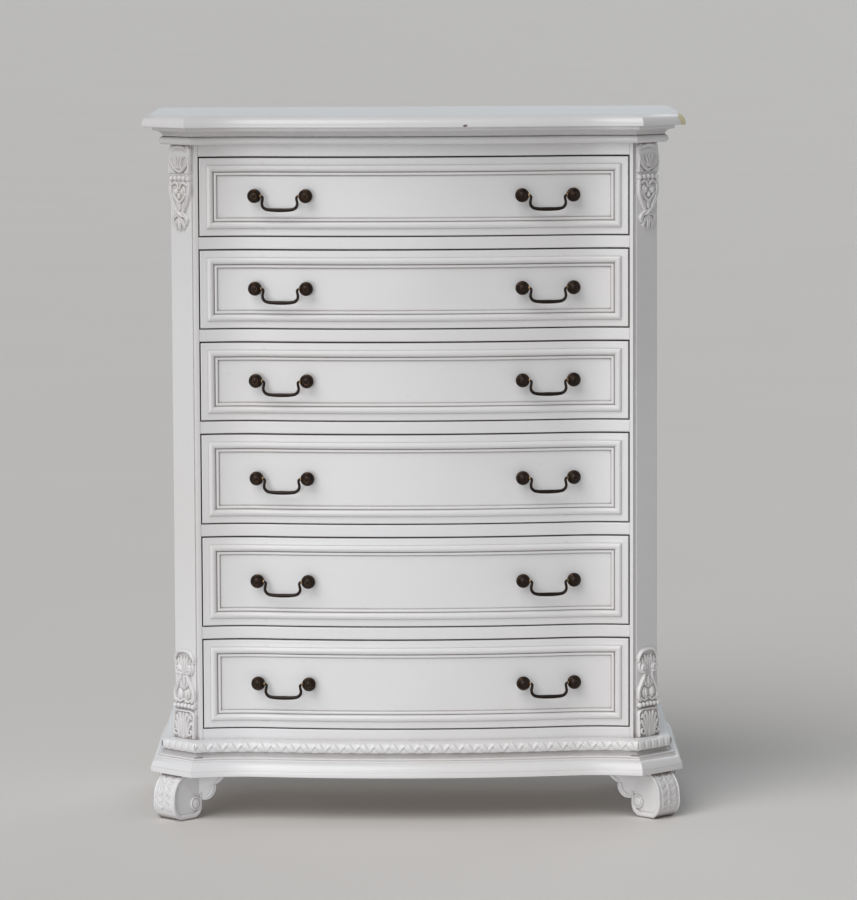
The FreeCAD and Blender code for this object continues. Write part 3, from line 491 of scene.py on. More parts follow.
def make_wood(name, pale, dark, along, across=None, turn_at=None, figure=0.30):
    """Grain along one way, or across it where X is further out than turn_at."""
    wood = Finish(name, Coat_Weight=0.12, Coat_Roughness=0.3)
    grain_place = wood.stretched(along)
    if turn_at is not None:
        aside = wood.node("ShaderNodeSeparateXYZ", None, {0: wood.place()}, out="X")
        sockets = {0: abs(aside) > turn_at, 4: grain_place, 5: wood.stretched(across)}
        grain_place = wood.node("ShaderNodeMix", {"data_type": "VECTOR"}, sockets, out=1)
    bands = wood.cloud(9.0, 5.0, grain_place, 0.62)
    pores = wood.cloud(46.0, 3.0, grain_place, 0.7)
    tone = wood.cloud(1.6, 2.0)
    slow = wood.cloud(1.1, 1.0, grain_place) + (bands - 0.5) * 0.045
    rings = slow.maths("PINGPONG", slow * 17.0, 1.0)
    colour = wood.blend(bands.ramp(0.32, 0.78) * 0.55, pale, dark)
    colour = wood.blend(rings.ramp(0.35, 1.0) * figure, colour, dark)
    pore_tint, pale_tint = tuple(c * 0.5 for c in dark), tuple(c * 1.1 for c in pale)
    colour = wood.blend(pores.ramp(0.62, 0.74) * 0.35, colour, pore_tint)
    colour = wood.blend(tone.ramp(0.4, 0.8) * 0.25, colour, pale_tint)
    wood.bump(bands * 0.4 - pores.ramp(0.60, 0.75) * 0.6, 0.0005, 0.5)
    return wood.use(Base_Color=colour, Roughness=0.48 + (pores - 0.5) * 0.2)


# A drawer's sides stand within 15 mm of the edges of its opening.
SIDES_WITHIN = 0.015
ALONG_X, ALONG_Y, UPRIGHT = (0.9, 14, 14), (14, 0.9, 14), (4.2, 9.0, 0.36)
DRAWER_WOOD = make_wood(
    "drawer_wood", (0.62, 0.46, 0.29), (0.44, 0.30, 0.17), ALONG_X, ALONG_Y,
    OPENING_HALF - SIDES_WITHIN)
FRONT_WOOD = make_wood("drawer_front_wood", (0.60, 0.45, 0.29), (0.43, 0.30, 0.18), ALONG_X)
BACK_BOARD = make_wood(
    "back_board", (0.58, 0.44, 0.28), (0.46, 0.32, 0.19), UPRIGHT, figure=0.55)
print("woods ready")

# %% [markdown]
# Flat boards of the case are kept from the frame. Real boards have no knife
# edges, so each board that stays has its points merged and a narrow rounding
# laid along its edges. That rounding catches the light and is most of what
# makes a painted board look real. Pieces that are made again below only
# get their finish here.

# %% Boards kept from the frame
FINISH_OF_SLOT = {
    "white_lacquer": LACQUER,
    "antique_bronze": BRONZE,
    "drawer_wood": DRAWER_WOOD,
    "back_board": BACK_BOARD,
}
PAINTED_EDGE, WOODEN_EDGE = 0.0012, 0.0006
SLOT_OF_NODE = {row["node"]: row["material_slot"] for row in frame["record"]["subparts"]}


def finish_board(name, rounding):
    board = NODES[name]
    finish = FINISH_OF_SLOT[SLOT_OF_NODE[name]]
    board.data.materials.clear()
    board.data.materials.append(finish)
    if rounding:
        weld = board.modifiers.new("weld", "WELD")
        weld.merge_threshold = MERGE * 10
        ease = board.modifiers.new("eased_edges", "BEVEL")
        ease.width = rounding
        ease.segments = 2
        ease.limit_method = "ANGLE"
        ease.angle_limit = math.radians(40)
        ease.harden_normals = True


for node_name in NODES:
    soft_edge = node_name.startswith(("stile", "pilaster", "side_panel"))
    wooden = SLOT_OF_NODE[node_name] in ("drawer_wood", "back_board")
    finish_board(node_name, PAINTED_EDGE if soft_edge else WOODEN_EDGE if wooden else 0.0)
print("boards finished:", len(NODES))

# %% [markdown]
# Rails are boards with a serpentine front. Each is made as a row of upright
# slices: the front edge of a slice lies on the front line, slightly eased
# above and below, and its back edge on a straight line, as the back of such
# a rail is sawn flat.

# %% Rails


def front_stations(half, step=0.010):
    """X of upright slices from -half to half, with one at each end of the bow."""
    right = np.concatenate([np.arange(0, TURN_X, step), np.arange(TURN_X, half, step), [half]])
    right = np.unique(np.round(right, 6))
    return np.concatenate([-right[:0:-1], right])


def slice_rings(bottom, top, half, ease=0.0012):
    """Points of all slices of one rail, and their number per slice."""
    quarter = [0.0, 0.35, 0.75, 1.0]
    outs = [None, -4 * ease] + [-ease * (1 - math.sin(q * math.pi / 2)) for q in quarter]
    ups = [bottom, bottom] + [bottom + ease * (1 - math.cos(q * math.pi / 2)) for q in quarter]
    outs = outs + [0.0, 0.0] + outs[::-1]
    ups = ups + [bottom + 3 * ease, top - 3 * ease] + [bottom + top - up for up in ups[::-1]]
    rings = []
    for x in front_stations(half):
        for out, up in zip(outs, ups):
            y = RAIL_BACK if out is None else float(front_y(x, out))
            rings.append((x, y, up))
    return rings, len(outs)


def make_rail(name, spans, node):
    """One or more boards with a serpentine front, as one piece."""
    points, faces = [], []
    for bottom, top in spans:
        rings, columns = slice_rings(bottom, top, OPENING_HALF)
        faces += tube_faces(len(rings) // columns, columns, len(points))
        points += rings
    fit_to_case(make_piece(name, points, faces, [LACQUER]), node)


FOOT_TALL = 0.085
BASE_TALL = 0.034
BASE_TOP = FOOT_TALL + BASE_TALL
FIRST_OPENING = 0.169
DEEP, SHALLOW = 0.170, 0.149
DIVIDER = 0.0225
FRIEZE = 0.0545


def drawer_levels():
    """Bottom and height of each opening, from the top drawer down."""
    levels = []
    bottom = FIRST_OPENING
    for height in (DEEP,) * 3 + (SHALLOW,) * 3:
        levels.append((bottom, height))
        bottom += height + DIVIDER
    return levels[::-1]


OPENINGS = drawer_levels()
FRIEZE_BOTTOM = sum(OPENINGS[0])
CASE_TOP = FRIEZE_BOTTOM + FRIEZE
make_rail("frieze", [(FRIEZE_BOTTOM, CASE_TOP)], "frieze_rail")
make_rail("bottom_rail_front", [(BASE_TOP, FIRST_OPENING)], "bottom_rail")
dividers = [(low + tall, low + tall + DIVIDER) for low, tall in OPENINGS[1:]]
make_rail("dividers", dividers, "divider_rails")
print("openings:", [round(low, 4) for low, tall in OPENINGS])

# %% [markdown]
# The top is one glued-up board. Its upper edge is a wide round, cut with a
# router all round but the back, with a narrow upright land under it. The
# cornice under it is a cove over a half-round bead, and the base has a flat
# fascia, a soft ovolo and a narrow step. Each is a closed profile that runs
# round the case.

# %% Top, cornice and base


def arc(centre, radii, start, finish, steps):
    """Points of (out, up) on part of an ellipse, angles in degrees."""
    points = []
    for turn in np.linspace(math.radians(start), math.radians(finish), steps + 1):
        out, up = radii[0] * math.cos(turn), radii[1] * math.sin(turn)
        points.append((centre[0] + out, centre[1] + up))
    return points


TOP_LEVEL = 1.315
TOP_REACH = 0.052
TOP_ROUND = 0.019
TOP_PROFILE = [(0.0, CASE_TOP), (0.040, CASE_TOP), (0.0495, CASE_TOP)]
TOP_PROFILE += arc((0.0505, CASE_TOP + 0.0012), (0.0015, 0.0012), -90, 0, 4)
TOP_PROFILE += [(TOP_REACH, CASE_TOP + 0.0025)]
ROUND_AT = (TOP_REACH - TOP_ROUND, TOP_LEVEL - TOP_ROUND)
TOP_PROFILE += arc(ROUND_AT, (TOP_ROUND, TOP_ROUND), 0, 90, 14)
TOP_PROFILE += [(0.030, TOP_LEVEL), (0.0, TOP_LEVEL)]


def make_top():
    """The edge all round, closed by flat faces above, below and behind."""
    stations = round_case()
    rows, columns = len(stations), len(TOP_PROFILE)
    below = [row * columns for row in range(rows)]
    above = [first + columns - 1 for first in below]
    behind = list(range(columns)) + [below[-1] + i for i in range(columns)][::-1]
    faces = lattice(rows, columns) + [below, above[::-1], behind]
    top = make_piece("top", swept(TOP_PROFILE, stations), faces, [LACQUER], crisp=30)
    fit_to_case(top, "top_board")


def make_moulding(name, shares, reach, bottom, height, node):
    """A moulding whose profile is given in shares of its reach and height."""
    profile = [(out * reach, bottom + up * height) for out, up in shares]
    fit_to_case(run_moulding(name, profile, round_case(), [LACQUER]), node)


CORNICE_REACH, CORNICE_TALL = 0.032, 0.0325
CORNICE_LEVEL = CASE_TOP - CORNICE_TALL
BASE_REACH = 0.047
BEHIND = -0.851
BEAD = [(0.0, 0.0), (0.40, 0.0)] + arc((0.44, 0.22), (0.21, 0.215), -90, 90, 12)
BEAD += [(0.40, 0.44), (0.40, 0.475), (0.45, 0.475)]
COVE = arc((0.97, 0.475), (0.52, 0.305), 180, 92, 12)
COVE += [(0.955, 0.80), (1.0, 0.80), (1.0, 1.0), (0.0, 1.0)]
FASCIA = [(BEHIND, 0.0), (0.985, 0.0), (1.0, 0.015), (1.0, 0.05), (1.0, 0.27)]
FASCIA += [(0.996, 0.287), (0.985, 0.292)]
OVOLO = arc((0.60, 0.07), (0.405, 0.76), 18, 70, 12)
OVOLO += [(0.735, 0.84), (0.735, 0.885), (0.67, 0.885)]
STEP = [(0.66, 0.90), (0.66, 0.985), (0.65, 1.0), (BEHIND, 1.0)]

make_top()
make_moulding("cornice", BEAD + COVE, CORNICE_REACH, CORNICE_LEVEL, CORNICE_TALL,
    "cornice_moulding")
make_moulding("base", FASCIA + OVOLO + STEP, BASE_REACH, FOOT_TALL, BASE_TALL, "base_moulding")
print("mouldings: cornice from", round(CORNICE_LEVEL, 4), "and base to", round(BASE_TOP, 4))

# %% [markdown]
# Carving starts as a flat blank on which a carver first blocks out the main
# masses, then rounds them and cuts the veins. The same order works with
# numbers. A blank is a grid of heights. A stroke raises a rounded band along
# a smooth line, a dome raises an egg shape, and a cut lowers a line. Where
# masses overlap the higher one wins, as it does in wood, and a last light
# blur stands for the thick paint in the corners.

# %% The carver's blank


def smooth_line(points, spacing):
    """A smooth curve through the given points, along with their other values."""
    points = np.asarray(points, float)
    padded = np.vstack([2 * points[0] - points[1], points, 2 * points[-1] - points[-2]])
    result = []
    for i in range(1, len(padded) - 2):
        p0, p1, p2, p3 = padded[i - 1:i + 3]
        steps = max(int(np.linalg.norm((p2 - p1)[:2]) / spacing), 2)
        t = np.linspace(0, 1, steps, endpoint=False)[:, None]
        curve = 2 * p1 + (p2 - p0) * t + (2 * p0 - 5 * p1 + 4 * p2 - p3) * t**2
        result.append(0.5 * (curve + (3 * p1 - p0 - 3 * p2 + p3) * t**3))
    result.append(points[-1:])
    return np.vstack(result)


def spiral(centre, outer, turns, start, width, height):
    """A volute as points of (u, v, half width, height), from its rim to its eye."""
    points = []
    for t in np.linspace(0, 1, int(16 * turns)):
        radius = outer * (1 - 0.84 * t)
        turn = math.radians(start) + t * turns * math.tau
        u, v = centre[0] + radius * math.cos(turn), centre[1] + radius * math.sin(turn)
        points.append((u, v, width * (1 - 0.55 * t), height * (1 + 0.25 * t)))
    return points


NOTHING = -9.0
SUNK = -0.6


class Blank:
    """A grid of heights in millimetres: u across, v up."""

    def __init__(self, width, height, step, floor=-1.0):
        self.us = np.linspace(-width / 2, width / 2, int(round(width / step)) + 1)
        self.vs = np.linspace(0, height, int(round(height / step)) + 1)
        self.u, self.v = np.meshgrid(self.us, self.vs)
        self.h = np.full(self.u.shape, floor, float)
        self.step = step

    def nearest(self, line):
        """Share of the half width at each grid point, and the height there."""
        low = line[:, :2].min(0) - line[:, 2].max()
        high = line[:, :2].max(0) + line[:, 2].max()
        rows = (self.vs >= low[1]) & (self.vs <= high[1])
        columns = (self.us >= low[0]) & (self.us <= high[0])
        area = np.ix_(rows, columns)
        best = np.full(self.u[area].shape, 9.0)
        tall = np.zeros(best.shape)
        for u, v, half, height in line:
            share = np.hypot(self.u[area] - u, self.v[area] - v) / max(half, 0.05)
            closer = share < best
            best[closer] = share[closer]
            tall[closer] = height
        return area, best, tall

    def lines(self, points, mirror):
        """The smooth line through the points, and its mirror image."""
        for sign in (1, -1) if mirror else (1,):
            yield smooth_line([(sign * u, *rest) for u, *rest in points], self.step)

    def stroke(self, lift, hollow, *points, mirror=True):
        """Raises a rounded band from a level, with a hollow along its middle."""
        for line in self.lines(points, mirror):
            area, share, tall = self.nearest(line)
            body = np.sqrt(np.maximum(1 - share**2, 0)) - hollow * np.exp(-(share / 0.38) ** 2)
            raised = np.where(share < 1, lift + tall * body, NOTHING)
            self.h[area] = np.maximum(self.h[area], raised)

    def dome(self, u, v, across, up, tall, lift, turn=0.0):
        """Raises an egg shape from a level, turned by an angle in degrees."""
        for sign in (1, -1):
            angle = math.radians(turn) * sign
            du, dv = self.u - sign * u, self.v - v
            level = du * math.cos(angle) + dv * math.sin(angle)
            upright = dv * math.cos(angle) - du * math.sin(angle)
            share = np.hypot(level / across, upright / up)
            egg = lift + tall * np.sqrt(np.maximum(1 - share**2, 0))
            self.h = np.maximum(self.h, np.where(share < 1, egg, NOTHING))

    def cut(self, *points, mirror=True):
        """Cuts a rounded groove along a line."""
        for line in self.lines(points, mirror):
            area, share, tall = self.nearest(line)
            self.h[area] -= np.where(share < 1, tall * (1 - share**2), 0)

    def ground(self, inside, height):
        """Raises a plain mass wherever inside is true."""
        self.h = np.where(inside, np.maximum(self.h, height), self.h)

    def soften(self):
        """Blurs each height a little with its four neighbours."""
        wide = np.pad(self.h, 1, mode="edge")
        beside = wide[:-2, 1:-1] + wide[2:, 1:-1] + wide[1:-1, :-2] + wide[1:-1, 2:]
        self.h = (beside + 4 * self.h) / 8

    def sink_rim(self, depth):
        self.h[0, :] = self.h[-1, :] = depth
        self.h[:, 0] = self.h[:, -1] = depth

    def make(self, name, place):
        """A mesh of all cells that stand above the sunk level."""
        rows, columns = self.h.shape
        points = place(self.u * MM, self.v * MM, self.h * MM).reshape(-1, 3)
        low = self.h <= SUNK
        hidden = low[:-1, :-1] & low[1:, :-1] & low[:-1, 1:] & low[1:, 1:]
        faces = [face for face, gone in zip(lattice(rows, columns), hidden.ravel()) if not gone]
        used = np.unique(faces)
        renumber = np.full(len(points), -1)
        renumber[used] = np.arange(len(used))
        return make_piece(name, points[used], renumber[faces], [LACQUER], crisp=60)


print("carver's blank ready")

# %% [markdown]
# The ribbon moulding carries a running pattern that carvers call a ribbon
# on a stick: flat folds cross in a zig-zag all along the front and sides.
# On the cut-off corners it gives way to a row of small leaves. The plain
# body of the moulding is drawn round the case first. The carved band is a
# fine sheet that lies on it, with its edges let into the wood.

# %% Ribbon moulding
RIBBON_REACH, RIBBON_TALL = 0.027, 0.030
RIBBON_BODY = [(0.0, 0.0), (0.85, 0.0)] + arc((0.85, 0.28), (0.18, 0.25), -90, -172, 8)
RIBBON_BODY += [(0.67, 0.28), (0.91, 0.28)] + arc((0.86, 0.52), (0.07, 0.24), -80, 60, 8)
RIBBON_BODY += [(0.82, 0.92), (0.60, 1.0), (0.0, 1.0)]
make_moulding("ribbon_body", RIBBON_BODY, RIBBON_REACH, BASE_TOP, RIBBON_TALL, "ribbon_moulding")

FOLD, LEAF = 0.028, 0.0165
BAND_LOW, BAND_HIGH = 0.1272, 0.1465
BAND_OUT = 0.0240
MITRED = 1.02


def run_along(line):
    """Length along a line up to each of its points."""
    steps = np.linalg.norm(np.diff(line, axis=0), axis=1)
    return np.concatenate([[0], np.cumsum(steps)])


def outer_line(out, spacing):
    """Points, ways outward and lengths along the moved line, part by part."""
    parts = []
    stations = round_case(0.002)
    points = [np.array([x + wx * out, y + wy * out]) for (x, y), (wx, wy) in stations]
    ways = [np.array(unit(wx, wy)) for (x, y), (wx, wy) in stations]
    mitres = [i for i, (point, way) in enumerate(stations) if math.hypot(*way) > MITRED]
    corners = [0] + mitres + [len(stations) - 1]
    for first, last in zip(corners, corners[1:]):
        line = np.array(points[first:last + 1])
        way = np.array(ways[first:last + 1])
        if last - first == 1:
            along = (line[1] - line[0]) / np.linalg.norm(line[1] - line[0])
            way = np.array([[along[1], -along[0]]] * 2)
        else:
            way[0], way[-1] = way[1], way[-2]
        run = run_along(line)
        fine = np.linspace(0, run[-1], max(int(run[-1] / spacing), 4) + 1)
        place = np.stack([np.interp(fine, run, line[:, k]) for k in (0, 1)], axis=1)
        face = np.stack([np.interp(fine, run, way[:, k]) for k in (0, 1)], axis=1)
        parts.append((place, face, fine))
    return parts


def band(phase, half, edge):
    """One along the middle of a flat band, falling to zero beside it."""
    away = np.abs(np.mod(phase, 1.0) - 0.5)
    return np.clip((half + edge - away) / edge, 0, 1) ** 0.7


def fold_height(run, length, up):
    """Height of the crossing folds in millimetres, up running from -1 to 1."""
    pitch = length / max(round(length / FOLD), 1)
    across = (run - length / 2) / pitch
    over = across + up * 0.25
    under = across - up * 0.25 + 0.5
    crease = np.exp(-((np.mod(over, 1.0) - 0.5) / 0.06) ** 2)
    broad = band(over, 0.19, 0.07) * (1.8 - 0.4 * crease)
    narrow = band(under, 0.10, 0.07) * 1.1
    slot = 1.4 * np.exp(-((np.mod(under - 0.17, 1.0) - 0.5) / 0.055) ** 2)
    return np.maximum(broad, narrow - slot) - 0.35 * slot


def leaf_height(run, length, up):
    """A row of small drooping leaves with a rib."""
    pitch = length / max(round(length / LEAF), 1)
    across = np.mod(run / pitch, 1.0) - 0.5
    width = 0.46 * np.sqrt(np.clip(1.05 - (0.15 - up * 0.75) ** 2, 0.0, 1.0))
    share = np.abs(across) / np.maximum(width, 0.02)
    leaf = 2.4 * np.sqrt(np.maximum(1 - share**2, 0)) - 0.6 * np.exp(-(share / 0.22) ** 2)
    return np.where(share < 1, leaf, 0)


def make_ribbon():
    """The carved sheet: folds on the front and sides, leaves on both corners."""
    points, faces = [], []
    ups = np.linspace(-1, 1, 17)
    for index, (place, face, run) in enumerate(outer_line(BAND_OUT, 0.0011)):
        height = leaf_height if index in (1, 3) else fold_height
        grid_run, grid_up = np.meshgrid(run, ups, indexing="ij")
        relief = height(grid_run, run[-1], grid_up) * (1 - np.abs(grid_up) ** 6)
        swell = 2.2 * (1 - grid_up**2)
        out = (relief + swell) * MM - 0.0006
        out[:, 0] = out[:, -1] = -0.003
        level = (BAND_LOW + BAND_HIGH) / 2 + grid_up * (BAND_HIGH - BAND_LOW) / 2
        xs = place[:, :1] + face[:, :1] * out
        ys = place[:, 1:] + face[:, 1:] * out
        start = len(points)
        points += np.stack([xs, ys, level], axis=2).reshape(-1, 3).tolist()
        faces += lattice(len(run), len(ups), start)
    fit_to_case(make_piece("ribbon_carving", points, faces, [LACQUER], crisp=60))
    print("ribbon band:", len(points), "points")


make_ribbon()

# %% [markdown]
# Each corner pilaster has two applied carvings. The upper one starts with a
# rounded block that holds a fan leaf. Under a row of beads, a scroll on each
# side runs down round a heart of volutes to a narrow waist. There two bands
# cross, and a three-lobed leaf hangs below them. Each carving is cut once
# and used on both corners, because left and right are mirror images.

# %% Upper carving
CARVING_WIDE, CARVING_STEP = 58, 0.65
UPPER_TALL, LOWER_TALL = 162, 168
CARVED_LEVELS = (0, 39, 58.5, 101.5, UPPER_TALL)
TRUE_LEVELS = (0, 32, 54, 99.8, UPPER_TALL)


def carve_upper():
    """Cuts the masses from the top down, then moves them to their true levels."""
    blank = Blank(CARVING_WIDE, UPPER_TALL, CARVING_STEP)
    stroke, cut, dome, ground = blank.stroke, blank.cut, blank.dome, blank.ground
    u, v = blank.u, blank.v
    # The block, rounded above and at its sides, with a lip over it.
    shoulder = np.hypot(np.maximum(np.abs(u) - 18.5, 0), np.maximum(v - 151.5, 0))
    block = (np.abs(u) < 28.2) & (v > 109.5) & (shoulder < 9.8)
    roll = np.sqrt(np.maximum(1 - (np.maximum(np.abs(u) - 22, 0) / 7.0) ** 2, 0))
    swell = np.sin(np.clip((v - 106) / 56, 0, 1) * math.pi)
    ground(block, 1.2 + (1.8 + 2.2 * swell) * roll)
    stroke(3.0, 0, (25.6, 111, 2.4, 2.8), (26.4, 122, 2.2, 3.4), (25.6, 134, 2.0, 3.2))
    stroke(3.2, 0, (15, 156, 3.0, 3.0), (7, 158, 3.4, 3.2), (0, 158.5, 3.4, 3.4))
    cut((20, 148, 1.0, 0.6), (10, 151.5, 1.2, 0.8), (0, 152, 1.2, 0.8))
    # The fan leaf: a middle fold and three more on each side.
    stroke(4.4, 0.45, (0, 141, 1.8, 2.4), (0, 131, 3.4, 4.2), (0, 120, 2.4, 3.6))
    stroke(4.2, 0.42, (9.0, 141, 2.0, 2.8), (7.4, 131, 3.4, 4.2), (3.4, 121, 2.4, 3.6))
    stroke(4.0, 0.42, (18.0, 140, 2.2, 3.0), (14.6, 130, 3.4, 4.2), (7.2, 120.5, 2.4, 3.6))
    stroke(3.6, 0.35, (25.0, 139, 2.0, 3.0), (21.6, 129, 3.2, 4.2), (12.0, 118, 2.6, 3.8),
        (0, 113, 2.6, 3.6))
    for foot, tip in ((1.8, 4.6), (5.0, 12.2), (8.5, 18.6)):
        cut((foot, 120, 0.9, 2.0), ((foot + tip) / 2, 130, 1.2, 3.2), (tip, 139, 1.0, 2.4))
    cut((22.5, 122, 1.2, 3.0), (12.5, 113.5, 1.4, 3.6), (5.0, 110.5, 1.2, 3.0))
    # The row of beads, each on a small peg.
    ground((np.abs(u) < 27) & (np.abs(v - 101) < 8.5), 1.8)
    for index in range(5):
        bead = (index - 2) * 11.3
        dome(bead, 101.5 - 0.0025 * bead**2, 5.5, 5.7, 6.0, 0.8)
        stroke(0.8, 0, (bead, 96, 1.6, 3.4), (bead, 93, 2.6, 3.4))
    # The long scrolls, from the beads down to the waist.
    ground((np.abs(u) < 25.0 - np.maximum(80 - v, 0) * 0.42) & (v > 40) & (v < 95), 2.0)
    stroke(1.0, 0.16, (23.6, 93, 3.6, 4.8), (24.4, 84, 4.4, 5.4), (23.0, 72, 4.8, 5.8),
        (18.0, 60, 4.6, 5.6), (12.0, 50, 4.0, 5.2), (7.0, 41, 3.4, 4.8))
    cut((24.0, 88, 0.8, 1.3), (23.2, 74, 1.0, 1.5), (18.0, 61, 1.0, 1.5), (11.6, 50, 0.8, 1.3))
    # The heart of volutes and the bud it holds.
    stroke(1.8, 0.15, (19.5, 90, 2.6, 4.2), (12, 93.5, 2.8, 4.4), (4.5, 90.5, 2.6, 4.4),
        (1.8, 83, 2.0, 4.0))
    dome(10.2, 79.0, 7.4, 8.6, 5.6, 1.6, turn=-20)
    cut((6.5, 82.5, 0.9, 1.6), (10.5, 84.0, 1.1, 2.2), (13.8, 80.0, 1.1, 2.2),
        (12.0, 75.5, 0.9, 1.6))
    stroke(1.8, 0.2, (17.0, 74, 2.8, 4.2), (10.0, 65.5, 3.0, 4.6), (0, 58.5, 3.0, 4.6))
    dome(0, 70.0, 4.4, 6.6, 5.8, 1.4)
    # The waist, where two bands cross.
    stroke(1.6, 0.3, (0, 56, 3.6, 4.2), (0, 48, 3.0, 4.8))
    stroke(1.4, 0, (-8, 35, 2.6, 4.6), (0, 41, 3.8, 5.8), (8, 46, 2.6, 4.6), mirror=False)
    stroke(1.0, 0, (-8, 45, 2.2, 4.0), (1, 38, 3.2, 5.0), (9, 34, 2.4, 4.2), mirror=False)
    # The three-lobed leaf.
    stroke(0.6, 0.34, (3.0, 38, 3.0, 4.2), (11.0, 37.5, 4.6, 5.2), (18.0, 29.5, 5.2, 5.4),
        (17.0, 19.5, 3.4, 4.2))
    stroke(0.6, 0.36, (2.0, 32, 3.0, 4.2), (8.0, 24, 4.6, 5.4), (11.8, 13, 3.8, 4.8),
        (8.5, 5.5, 2.0, 3.2))
    stroke(0.6, 0.4, (0, 34, 3.6, 5.0), (0, 21, 5.4, 6.4), (0, 9, 4.2, 5.4), (0, 1.8, 1.6, 3.0))
    cut((13.2, 22.5, 1.2, 2.6), (13.6, 20.5, 1.0, 2.0))
    blank.soften()
    blank.sink_rim(-1.0)
    blank.v = np.interp(blank.v, CARVED_LEVELS, TRUE_LEVELS)
    return blank


UPPER = carve_upper()
print("upper carving:", UPPER.h.shape)

# %% [markdown]
# The lower carving is a console. Its plain mass swells forward towards the
# foot, where a rounded frame holds an acanthus leaf. Over a row of beads two
# long scrolls run up round a pair of egg shapes to two volutes, and leaves
# fan out above these under a round hood.

# %% Lower carving
CONSOLE_LEVELS = (0, 20, 38, 50, 56, 64, 80, 110, 150, LOWER_TALL)
CONSOLE_FRONT = (10.6, 10.4, 9.6, 8.0, 6.0, 4.0, 2.8, 2.2, 1.6, 1.0)
LEAF_LIFT = 4.9


def carve_lower():
    """Cuts the framed leaf at the foot first, and then all above it."""
    blank = Blank(CARVING_WIDE, LOWER_TALL, CARVING_STEP)
    stroke, cut, dome, ground = blank.stroke, blank.cut, blank.dome, blank.ground
    u, v = blank.u, blank.v
    # The swelling ground and the frame with its hollow field.
    rounding = np.minimum(np.abs(u) / 28.5, 1) ** 3 * np.clip((60 - v) / 12, 0, 1)
    base = np.interp(v, CONSOLE_LEVELS, CONSOLE_FRONT) - 3.4 * rounding
    aside = np.hypot(np.maximum(np.abs(u) - 15, 0), np.maximum(v - 40, 0))
    to_rim = 13.6 - aside
    crest = np.clip(1 - ((to_rim - 1.9) / 1.9) ** 2, 0, 1)
    dish = np.clip((to_rim - 2.6) / 3.6, 0, 1)
    panel = (v < 54) & (to_rim > -0.4)
    framed = base - 2.2 + 1.8 * np.sqrt(crest) - 2.6 * np.sin(dish * math.pi / 2)
    blank.h = np.where(panel, framed, blank.h)
    # The acanthus leaf, from its rib outward.
    stroke(LEAF_LIFT, 0.42, (0, 1, 3.4, 4.6), (0, 18, 3.8, 5.2), (0, 36, 3.2, 4.6),
        (0, 47, 1.4, 2.8))
    for foot, tip, reach in ((4.2, 47, 9.0), (9.0, 42, 17.0)):
        stroke(LEAF_LIFT, 0.4, (foot, 2, 2.2, 4.2), (foot + 1.4, tip - 18, 3.2, 4.8),
            (reach, tip - 1, 2.6, 3.8), (reach + 3.6, tip - 5, 1.6, 2.4))
    stroke(LEAF_LIFT, 0.38, (11.5, 4, 2.4, 4.2), (14.5, 18, 3.2, 4.8), (20.5, 29, 3.4, 4.6),
        (24.6, 27, 2.2, 3.2))
    stroke(LEAF_LIFT, 0.3, *spiral((19.0, 12.5), 7.8, 1.1, 150, 3.4, 4.8))
    cut((18.6, 12.0, 2.0, 5.0), (19.6, 13.2, 2.0, 5.0))
    cut((22.6, 3.0, 1.4, 3.4), (22.8, 3.6, 1.4, 3.4))
    # The row of beads.
    for index in range(6):
        bead = (index - 2.5) * 9.6
        dome(bead, 61.5 - 0.002 * bead**2, 4.9, 5.2, 5.4, 2.8)
    # The long scrolls and the egg shapes they hold.
    half = np.interp(v, (57, 74, 92, 108, 124), (26, 27, 21, 13, 11))
    ground((v > 57) & (v < 124) & (np.abs(u) < half), 1.8)
    stroke(1.2, 0.14, (20.0, 69, 3.4, 4.4), (25.0, 75, 3.8, 5.0), (24.6, 87, 4.2, 5.4),
        (18.5, 99, 4.0, 5.4), (11.5, 111, 3.6, 5.2), (9.0, 122, 3.2, 4.8))
    cut((24.4, 80, 0.8, 1.2), (21.5, 94, 1.0, 1.4), (13.5, 108, 0.9, 1.3))
    dome(9.6, 83.0, 7.4, 11.8, 6.2, 1.4, turn=-8)
    cut((12.0, 91, 1.0, 1.6), (12.6, 82, 1.5, 2.4), (10.0, 74, 1.2, 1.8))
    stroke(1.6, 0.15, (18.5, 73, 2.6, 4.2), (10.5, 68.8, 2.8, 4.6), (1.5, 73.5, 2.4, 4.2))
    # Narrow leaves between the scrolls.
    stroke(1.6, 0.35, (0, 93, 2.0, 3.6), (0, 102, 3.6, 5.2), (0, 112, 2.2, 4.0))
    stroke(1.6, 0.35, (2.0, 93, 2.0, 3.4), (7.6, 99, 3.2, 4.8), (8.6, 106, 2.0, 3.6))
    # The volutes above them.
    dome(13.0, 131.0, 9.2, 9.8, 6.6, 0.6, turn=14)
    stroke(5.2, 0.2, *spiral((13.4, 130.0), 7.4, 1.2, 250, 2.6, 2.8))
    stroke(0.6, 0.18, (8.5, 121, 3.0, 4.6), (18.5, 123.5, 3.0, 4.8), (23.2, 132, 3.0, 4.6),
        (21.5, 143, 2.6, 4.0))
    # The fan of leaves and its round hood.
    for foot, top, across in ((0.0, 152.0, 4.6), (7.6, 153.0, 4.2), (15.0, 149.0, 3.8)):
        stroke(0.6, 0.42, (foot * 0.3, 122, 2.4, 4.2), (foot * 0.85, top - 12, across, 5.8),
            (foot * 1.1, top, across * 0.55, 4.2))
    stroke(0.8, 0, (25.2, 143, 2.4, 3.6), (24.0, 152, 3.2, 4.8), (15.5, 161.5, 3.4, 5.6),
        (0, 164.6, 3.4, 6.0))
    ground((np.hypot(u / 23.5, np.maximum(v - 143, 0) / 21) < 1) & (v > 118), 0.2)
    blank.soften()
    blank.sink_rim(-1.0)
    return blank


LOWER = carve_lower()
print("lower carving:", LOWER.h.shape)

BOLD = 1.12
OVERHANG = 0.006


